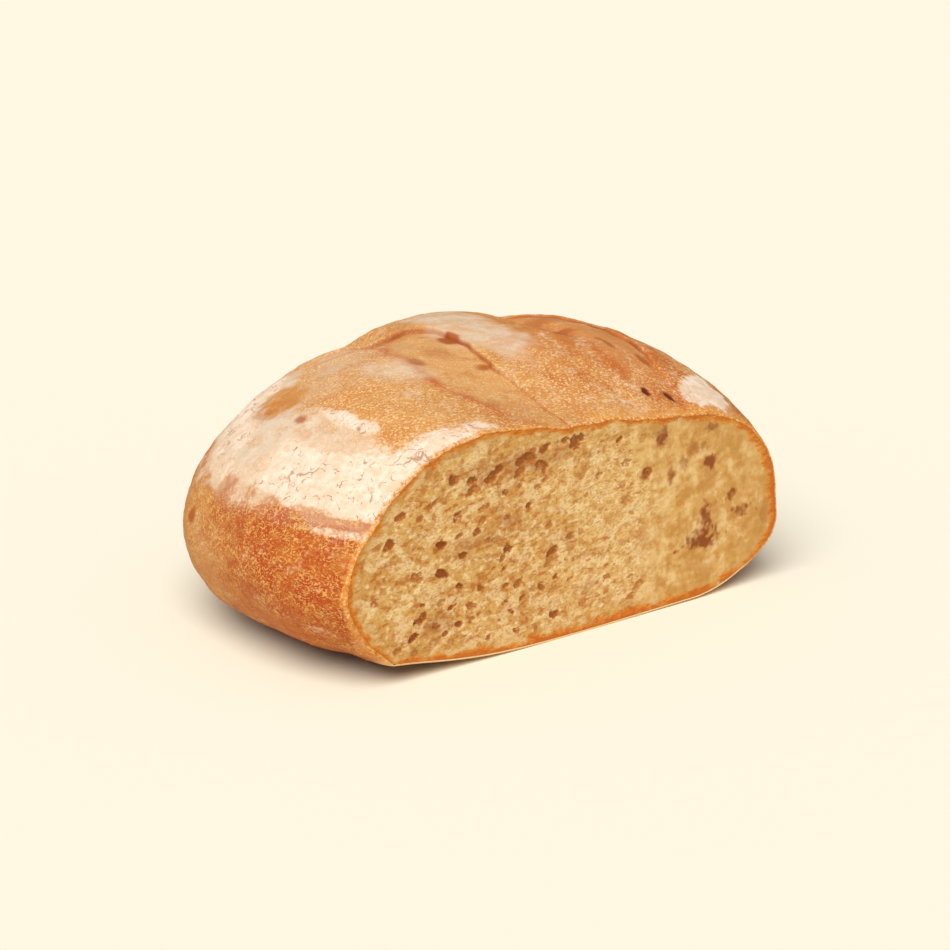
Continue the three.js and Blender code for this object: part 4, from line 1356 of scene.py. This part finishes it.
class LOAF_OT_crumb(bpy.types.Operator):
    """Build the cut face with its pores and the crust's section"""

    bl_idname = "loaf.crumb"
    bl_label = "Crumb"

    def execute(self, context):
        points, _ = crust_rings()
        piece = build_crumb(cut_outline(points))
        piece.data.materials.append(crumb_material(context.scene.loaf_crumb_look))
        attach(piece, "root")
        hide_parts(LOAF_NODE)
        return {"FINISHED"}


class LOAF_OT_stage(bpy.types.Operator):
    """Set out the floor, the light and the camera"""

    bl_idname = "loaf.stage"
    bl_label = "Stage"

    def execute(self, context):
        look = context.scene.loaf_stage_look
        make_floor(look)
        make_light(context.scene, look)
        make_camera(context.scene, look)
        return {"FINISHED"}


# The photograph's frame is square; these are in its pixels.
FRAME_SIDE = 950
FOCAL_PIXELS = 2185.2
SHIFT_PIXELS = (-1.1, -11.0)
SENSOR_MM = 36.0
CAMERA_TARGET = (0.0, 60.0, 50.0)        # in millimetres, in the cut plane's frame
KEY_FROM = (-0.6, -0.48, 1.0)            # direction from the loaf towards the key light
LIGHT_TONE = (1.0, 0.99, 0.97)


def make_floor(look):
    """One large square on z = 0."""
    half = look.floor_size / 2.0
    mesh = bpy.data.meshes.new("studio_floor")
    corners = [(-half, -half, 0.0), (half, -half, 0.0), (half, half, 0.0), (-half, half, 0.0)]
    mesh.from_pydata(corners, [], [(0, 1, 2, 3)])
    mesh.materials.append(floor_material(look))
    floor = bpy.data.objects.new("studio_floor", mesh)
    bpy.context.scene.collection.objects.link(floor)


def make_light(scene, look):
    """A soft sun from above left, and an even sky in the same tone."""
    world = bpy.data.worlds.new("studio_air")
    world.use_nodes = True
    sky = world.node_tree.nodes["Background"]
    sky.inputs["Color"].default_value = (*LIGHT_TONE, 1.0)
    sky.inputs["Strength"].default_value = look.fill
    scene.world = world
    lamp = bpy.data.lights.new("key_light", "SUN")
    lamp.energy = look.key
    lamp.angle = look.key_softness
    lamp.color = LIGHT_TONE
    key = bpy.data.objects.new("key_light", lamp)
    key.rotation_euler = Vector(KEY_FROM).to_track_quat("Z", "Y").to_euler()
    scene.collection.objects.link(key)
    scene.view_settings.view_transform = "Standard"


def make_camera(scene, look):
    """A camera on a sphere round the target, looking at it, with a small shift."""
    target = (Vector(CAMERA_TARGET) - Vector((CENTRE_X, CENTRE_Y, 0.0))) * MM
    turn, rise = look.camera_turn, look.camera_rise
    away = Vector((math.sin(turn) * math.cos(rise), -math.cos(turn) * math.cos(rise), math.sin(rise)))
    lens = bpy.data.cameras.new("photo_camera")
    lens.sensor_width = SENSOR_MM
    lens.lens = FOCAL_PIXELS / FRAME_SIDE * SENSOR_MM
    lens.shift_x = -SHIFT_PIXELS[0] / FRAME_SIDE
    lens.shift_y = SHIFT_PIXELS[1] / FRAME_SIDE
    lens.clip_end = 100.0
    camera = bpy.data.objects.new("photo_camera", lens)
    camera.location = target + away * look.camera_distance
    camera.rotation_euler = away.to_track_quat("Z", "Y").to_euler()
    scene.collection.objects.link(camera)
    scene.camera = camera


class LOAF_PT_panel(bpy.types.Panel):
    """Buttons for the loaf's pieces and its stage"""

    bl_idname = "LOAF_PT_panel"
    bl_label = "Rye Spelt Loaf"
    bl_space_type = "VIEW_3D"
    bl_region_type = "UI"
    bl_category = "Loaf"

    def draw(self, context):
        for operator in OPERATORS:
            self.layout.operator(operator.bl_idname)


LOOKS = {
    "loaf_crust_look": LoafCrustLook,
    "loaf_crumb_look": LoafCrumbLook,
    "loaf_stage_look": LoafStageLook,
}
OPERATORS = (LOAF_OT_finishes, LOAF_OT_crust, LOAF_OT_crumb, LOAF_OT_stage)


def register():
    """Makes the properties, operators and panel known to Blender."""
    for made in (*LOOKS.values(), *OPERATORS, LOAF_PT_panel):
        bpy.utils.register_class(made)
    for name, look in LOOKS.items():
        setattr(bpy.types.Scene, name, bpy.props.PointerProperty(type=look))


def unregister():
    """Takes them away again, in the opposite order."""
    for name in LOOKS:
        delattr(bpy.types.Scene, name)
    for made in reversed((*LOOKS.values(), *OPERATORS, LOAF_PT_panel)):
        bpy.utils.unregister_class(made)


def main():
    register()
    bpy.ops.loaf.finishes()
    bpy.ops.loaf.crust()
    bpy.ops.loaf.crumb()
    bpy.ops.loaf.stage()


if __name__ == "__main__":
    main()
